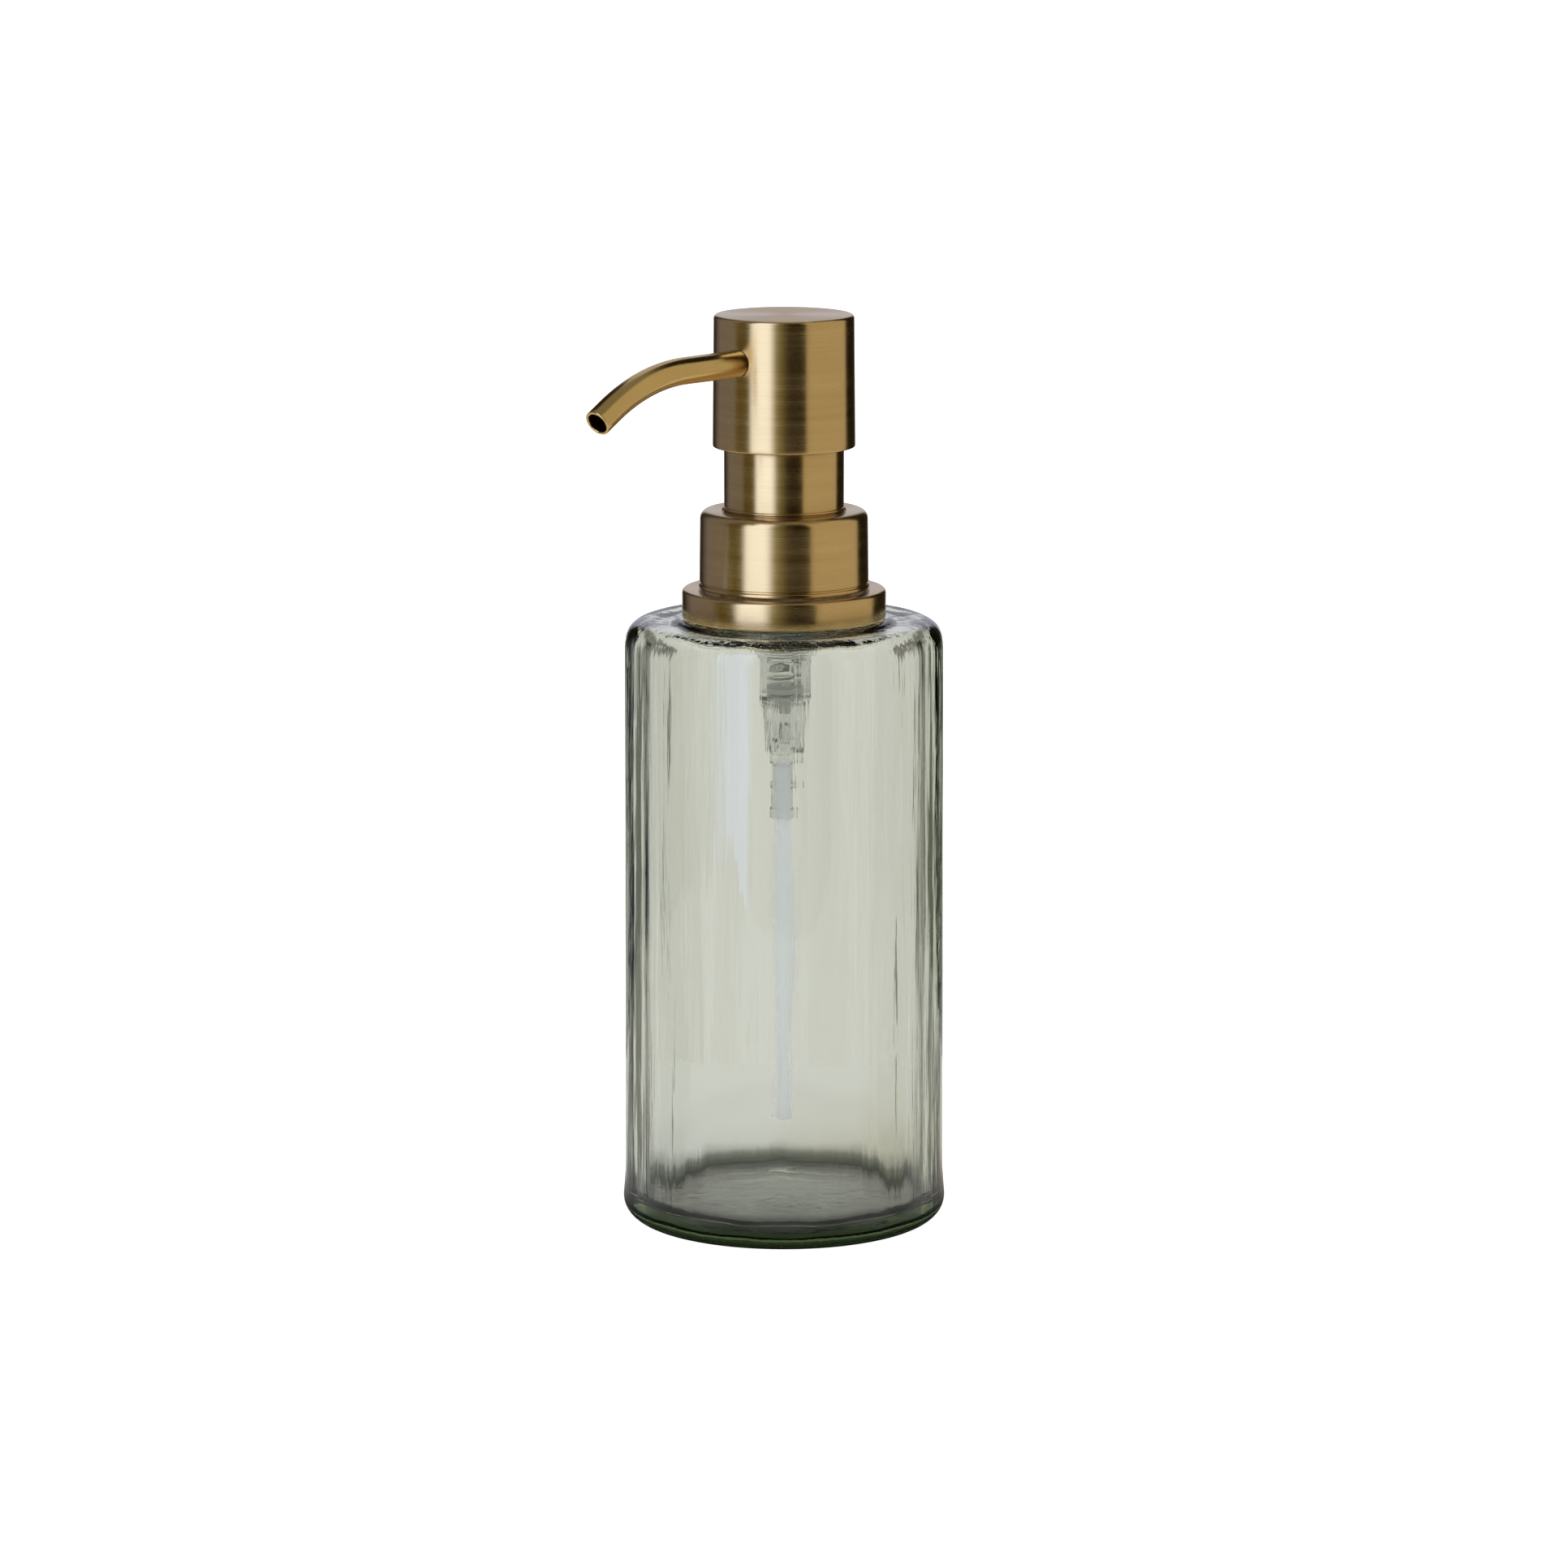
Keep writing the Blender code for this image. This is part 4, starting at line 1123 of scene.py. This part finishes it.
# %% Valve ball and its cage
def make_ball():
    low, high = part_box("check_ball")
    centre = (low + high) / 2
    radius = (high.z - low.z) / 2
    deselect_all()
    bpy.ops.mesh.primitive_uv_sphere_add(segments=48, ring_count=25, radius=radius * 0.99, location=centre)
    piece = bpy.context.object
    piece.name = "valve_ball"
    piece.data.name = "valve_ball"
    bpy.ops.object.transform_apply(location=True)
    bpy.ops.object.mode_set(mode="EDIT")
    bpy.ops.mesh.select_mode(type="FACE")
    bpy.ops.mesh.select_all(action="DESELECT")
    shape = bmesh.from_edit_mesh(piece.data)
    for face in shape.faces:
        face.select_set(abs(face.calc_center_median().z - centre.z) < 0.05 * radius)
    bmesh.update_edit_mesh(piece.data)
    bpy.ops.mesh.inset(thickness=0.04 * MM, use_boundary=True)
    bpy.ops.transform.resize(value=(1.008, 1.008, 1.0), center_override=centre)
    bpy.ops.object.mode_set(mode="OBJECT")
    shade(piece, 60)
    finish(piece, ball_glass, "ball", "ball_glass", "check_ball")


def make_cage():
    radius, foot, top = span("ball_cage")
    hole = 1.2
    peg = 2.5
    plate = 109.3
    piece = turned("spring_cage", close([
        (hole, foot), (peg, foot), (peg, plate), (radius, plate), (radius, top), (3.2, top), (3.0, top),
        (hole, top)]), sides=64)
    round_corner(piece, radius, top, 0.2, 2)
    round_corner(piece, peg, foot, 0.3, 3)
    shade(piece)
    finish(piece, white_plastic, "pump", "white_plastic", "ball_cage")


make_ball()
make_cage()

# %% Rod, seal and stem
def make_rod():
    radius, foot, top = span("piston_rod")
    shank = 1.7
    point_foot = top - 1.2
    piece = turned("plunger_rod", [
        (0.8, foot), (radius - 0.5, foot), (radius, foot + 0.4), (radius, foot + 1.1),
        (radius - 0.4, foot + 1.5), (2.4, foot + 1.5), (shank, foot + 2.2), (shank, point_foot),
        (1.0, top)], sides=64, fill_start=True, fill_end=True)
    round_corner(piece, shank, point_foot, 0.3, 3)
    shade(piece)
    finish(piece, white_plastic, "plunger", "white_plastic", "piston_rod")


def make_seal():
    radius, foot, top = span("piston")
    bore = 3.5
    waist = 4.55
    notch = waist - 0.35
    piece = turned("sliding_seal", close([
        (bore, foot), (notch, foot + 0.35), (radius - 0.1, foot), (radius, foot + 0.25),
        (waist, foot + 1.6), (waist, top - 1.6), (radius, top - 0.25), (radius - 0.1, top),
        (notch, top - 0.35), (bore, top)]), sides=96)
    shade(piece, 50)
    finish(piece, frosted_plastic, "seal", "frosted_plastic", "piston")


def make_stem():
    radius, foot, top = span("stem")
    slim = radius - 0.4
    step = 144.0
    bore = 2.0
    piece = turned("hollow_stem", close([(bore, foot), (slim, foot), (slim, step - 0.3), (radius, step),
                                         (radius, top), (bore, top)]), sides=64)
    round_corner(piece, radius, top, 0.3, 3)
    round_corner(piece, slim, foot, 0.2, 2)
    shade(piece)
    finish(piece, white_plastic, "head", "white_plastic", "stem")


make_rod()
make_seal()
make_stem()

# %% [markdown]
# The closure's inner parts: the screw cap with a thread that matches the neck's, the washer on
# the glass lip, and the collar that guides the stem. The cap's ridges lie half a pitch from the
# neck's, so the two threads mesh as the cap turns and rises.

# %% Screw cap, washer and guide
def make_cap():
    radius, foot, top = span("closure_cap")
    bore = 14.1
    plate = 1.4
    piece = turned("screw_cap", close([
        (bore, foot), (radius, foot), (radius, top), (CLOSURE_HOLE_R, top), (CLOSURE_HOLE_R, top - plate),
        (bore, top - plate)]))
    cut_wall(piece, foot, top - plate, 36)

    def cap_thread(radius, angle, height):
        on_bore = 1.0 if abs(radius - bore) < 0.05 else 0.0
        return on_bore * thread_ridge(angle, height, THREAD_LOW + 1.6, THREAD_HIGH + 1.2, PITCH / 2)

    push_surface(piece, "cap_thread", 0.6, cap_thread)
    round_corner(piece, radius, top, 0.35, 3)
    round_corner(piece, radius, foot, 0.2, 2)
    shade(piece, 50)
    finish(piece, white_plastic, "closure", "white_plastic", "closure_cap")


def make_washer():
    radius, foot, top = span("neck_gasket")
    bore = 9.7
    middle = (radius + bore) / 2
    piece = turned("lip_washer", close([(bore, foot), (middle - 0.6, foot), (middle, foot + 0.15),
                                        (middle + 0.6, foot), (radius, foot), (radius, top), (bore, top)]))
    round_corner(piece, radius, foot, 0.2, 3)
    round_corner(piece, radius, top, 0.2, 3)
    shade(piece)
    finish(piece, seal_rubber, "gasket", "seal_rubber", "neck_gasket")


def make_guide():
    radius, foot, top = span("guide_collar")
    bore = 4.0
    tube = 4.9
    wall = 1.3
    plate = 1.4
    piece = turned("stem_guide", close([
        (radius - wall, foot), (radius, foot), (radius, top), (bore, top), (bore, foot), (tube, foot),
        (tube, top - plate), (radius - wall, top - plate)]))
    round_corner(piece, radius, top, 0.4, 4)
    round_corner(piece, bore, top, 0.3, 3)
    shade(piece)
    finish(piece, white_plastic, "pump", "white_plastic", "guide_collar")


make_cap()
make_washer()
make_guide()

# %% [markdown]
# Inside the head a moulded core joins the stem to the spout. It is turned, and then three rods
# laid on their sides cut its channel, the spout's socket and the groove for a rubber ring.

# %% Head's core and the ring round the spout
RING_PLACE = 8.3
RING_WIRE_R = 0.5


def make_core():
    radius, foot, top = span("head_core")
    body = 11.0
    boss = 6.5
    socket = 3.9
    channel = 1.6
    low = top - 3.2
    shoulder = foot + 4.1
    socket_top = foot + 5.4
    piece = turned("spout_core", [
        (channel, SPOUT_Z), (channel, socket_top), (socket, socket_top), (socket, foot), (boss, foot),
        (boss, shoulder), (body, shoulder), (body, low), (radius, low), (radius, top), (3.0, top)],
        sides=96, fill_start=True, fill_end=True)
    round_corner(piece, boss, foot, 0.3, 3)
    round_corner(piece, body, shoulder, 0.4, 3)
    round_corner(piece, radius, low, 0.3, 3)
    subtract(piece, side_rod("socket", SPOUT_R + SOCKET_GAP, SPOUT_ROOT - SOCKET_GAP, 14.0))
    subtract(piece, side_rod("channel", 1.4, -0.01, SPOUT_ROOT))
    subtract(piece, side_rod("groove", 4.05, RING_PLACE - 0.8, RING_PLACE + 0.8))
    shade(piece)
    finish(piece, white_plastic, "head", "white_plastic", "head_core")


def make_spout_ring():
    middle = SPOUT_R + 0.15 + RING_WIRE_R
    piece = lay_down(turned("spout_ring", arc(middle, RING_PLACE, RING_WIRE_R, 0, 360, 16), sides=64))
    shade(piece, 60)
    finish(piece, seal_rubber, "head", "seal_rubber", "spout_seal")


make_core()
make_spout_ring()

# %% [markdown]
# The studio. Brass has no look of its own: it shows what stands round it. So the world is a
# ring of upright panels, bright and dark, that fill the room at fixed bearings: a cool window
# front left, a warm wall on the right, and dark gaps between. Real soft boxes would do the same
# and cost noise. What the camera sees directly stays a plain white sweep, and what shows
# through the glass is a plain pale wall.

# %% Studio panels
DARK = (0.030, 0.024, 0.012)
DEEP = (0.010, 0.007, 0.002)
SWEEP = (0.62, 0.63, 0.72)
GREY_WALL = (0.25, 0.25, 0.32)
OLIVE = (0.135, 0.115, 0.035)
WINDOW = (1.8, 2.25, 3.8)
GOLD = (0.34, 0.34, 0.20)
WARM_WALL = (0.64, 0.60, 0.50)
BACKDROP_LIGHT = (0.86, 0.84, 0.815, 1.0)
BACKDROP_DARK = (0.70, 0.67, 0.62, 1.0)
CEILING = (0.30, 0.29, 0.27, 1.0)
WHITE = (1.0, 1.0, 1.0, 1.0)
# (bearing in degrees, colour): 0 is at the camera, and right is positive. Between two they blend.
PANELS = [(-180, SWEEP), (-168, SWEEP), (-164, DARK), (-150, DARK), (-128, GREY_WALL), (-86, GREY_WALL),
          (-83, OLIVE), (-60, OLIVE), (-52, WINDOW), (-24, WINDOW), (-13, GOLD), (6, DARK), (20, DEEP),
          (36, DEEP), (37.5, WARM_WALL), (118, WARM_WALL), (122, DEEP), (164, DARK), (168, SWEEP)]


def make_world():
    world = bpy.data.worlds.new("studio")
    bpy.context.scene.world = world
    world.use_nodes = True
    tree = world.node_tree
    way = add(tree, "TexCoord").outputs["Generated"]

    def along(axis):
        return add(tree, "VectorMath", {0: way, 1: axis}, operation="DOT_PRODUCT").outputs["Value"]

    bearing = calculate(tree, "ARCTAN2", along(CAMERA_RIGHT), along(TOWARDS_CAMERA))
    turn = calculate(tree, "MULTIPLY_ADD", bearing, 1.0 / math.tau, 0.5)
    height = along((0.0, 0.0, 1.0))
    panels = ramp(tree, turn, [(bearing_of / 360 + 0.5, colour) for bearing_of, colour in PANELS])
    overhead = ramp(tree, height, [(0.80, 0.0), (0.90, 1.0)])
    studio = blend_colours(tree, overhead, panels, CEILING)
    wave = add(tree, "TexNoise", {"W": bearing, "Scale": 7.0, "Detail": 3.0}, noise_dimensions="1D")
    folds = ramp(tree, wave.outputs["Fac"], [(0.3, 0.0), (0.7, 1.0)])
    backdrop = blend_colours(tree, folds, BACKDROP_DARK, BACKDROP_LIGHT)
    path = add(tree, "LightPath").outputs
    seen = blend_colours(tree, path["Is Transmission Ray"], studio, backdrop)
    seen = blend_colours(tree, path["Is Camera Ray"], seen, WHITE)
    tree.links.new(seen, tree.nodes["Background"].inputs["Color"])


make_world()
bpy.context.scene.view_settings.view_transform = "Standard"
print("studio panels:", len(PANELS))

# %% [markdown]
# The dispenser stands on two sheets. The camera sees the wide floor, which glows as a lit sweep
# does, so that it shows no shadow. Brass and glass see the small table instead. Under the bottle
# and just round it the table has a painted shadow: its colour is dark there, as the patch that a bottle
# shades is.

# %% Floor and table
FLOOR_REACH = 4.0
FLOOR_DROP = 0.0003
TABLE_BACK = 0.138
TABLE_FRONT = 0.35
TABLE_HALF = 0.35
TABLE_DROP = 0.0001
TABLE_WHITE = (0.80, 0.76, 0.67, 1.0)
TABLE_LIGHT = (0.84, 0.80, 0.71, 1.0)
PAINTED_TABLE_SHADOW = (0.012, 0.020, 0.008, 1.0)


def make_sheet(name, half, back, front, drop, surface):
    """A flat sheet, half metres to either side of the axis, and from back behind it to front."""
    deselect_all()
    bpy.ops.mesh.primitive_plane_add(size=1.0)
    sheet = bpy.context.object
    sheet.name = name
    corners = [(-half, -back), (half, -back), (-half, front), (half, front)]
    for point, (right, towards) in zip(sheet.data.vertices, corners):
        point.co = CAMERA_RIGHT * right + TOWARDS_CAMERA * towards - Vector((0.0, 0.0, drop))
    sheet.data.materials.append(surface)
    return sheet


def make_white(name, glow, middle):
    """Mottled white round a middle of another colour, which is as wide as the bottle. On the table that
    middle is a painted shadow.
    """
    made, tree, shader = new_material(name, Roughness=0.9, Emission_Strength=glow, Emission_Color=WHITE)
    place = add(tree, "TexCoord").outputs["Object"]
    tone = blend_colours(tree, noise_at(tree, place, 30.0), TABLE_WHITE, TABLE_LIGHT)
    reach = add(tree, "VectorMath", {0: place}, operation="LENGTH").outputs["Value"]
    # On the table the middle is a painted shadow under the bottle and just round it.
    open_table = ramp(tree, reach, [(0.034, 0.0), (0.062, 1.0)])
    tree.links.new(blend_colours(tree, open_table, middle, tone), shader.inputs["Base Color"])
    return made


floor = make_sheet("floor", FLOOR_REACH, FLOOR_REACH, FLOOR_REACH, FLOOR_DROP,
                   make_white("white_floor", 1.0, TABLE_WHITE))
floor.visible_glossy = False
floor.visible_transmission = False
table = make_sheet("table", TABLE_HALF, TABLE_BACK, TABLE_FRONT, TABLE_DROP,
                   make_white("white_table", 0.0, PAINTED_TABLE_SHADOW))
table.visible_camera = False
print("sheets:", floor.name, table.name)

# %% Lamp
bpy.ops.object.light_add(type="AREA", location=(0.0, 0.0, 1.1))
lamp = bpy.context.object
lamp.name = "overhead_lamp"
lamp.data.shape = "DISK"
lamp.data.size = 1.0
lamp.data.energy = 9.0
lamp.visible_camera = False
lamp.visible_glossy = False
lamp.visible_transmission = False
print("lamp:", lamp.data.energy, "W")
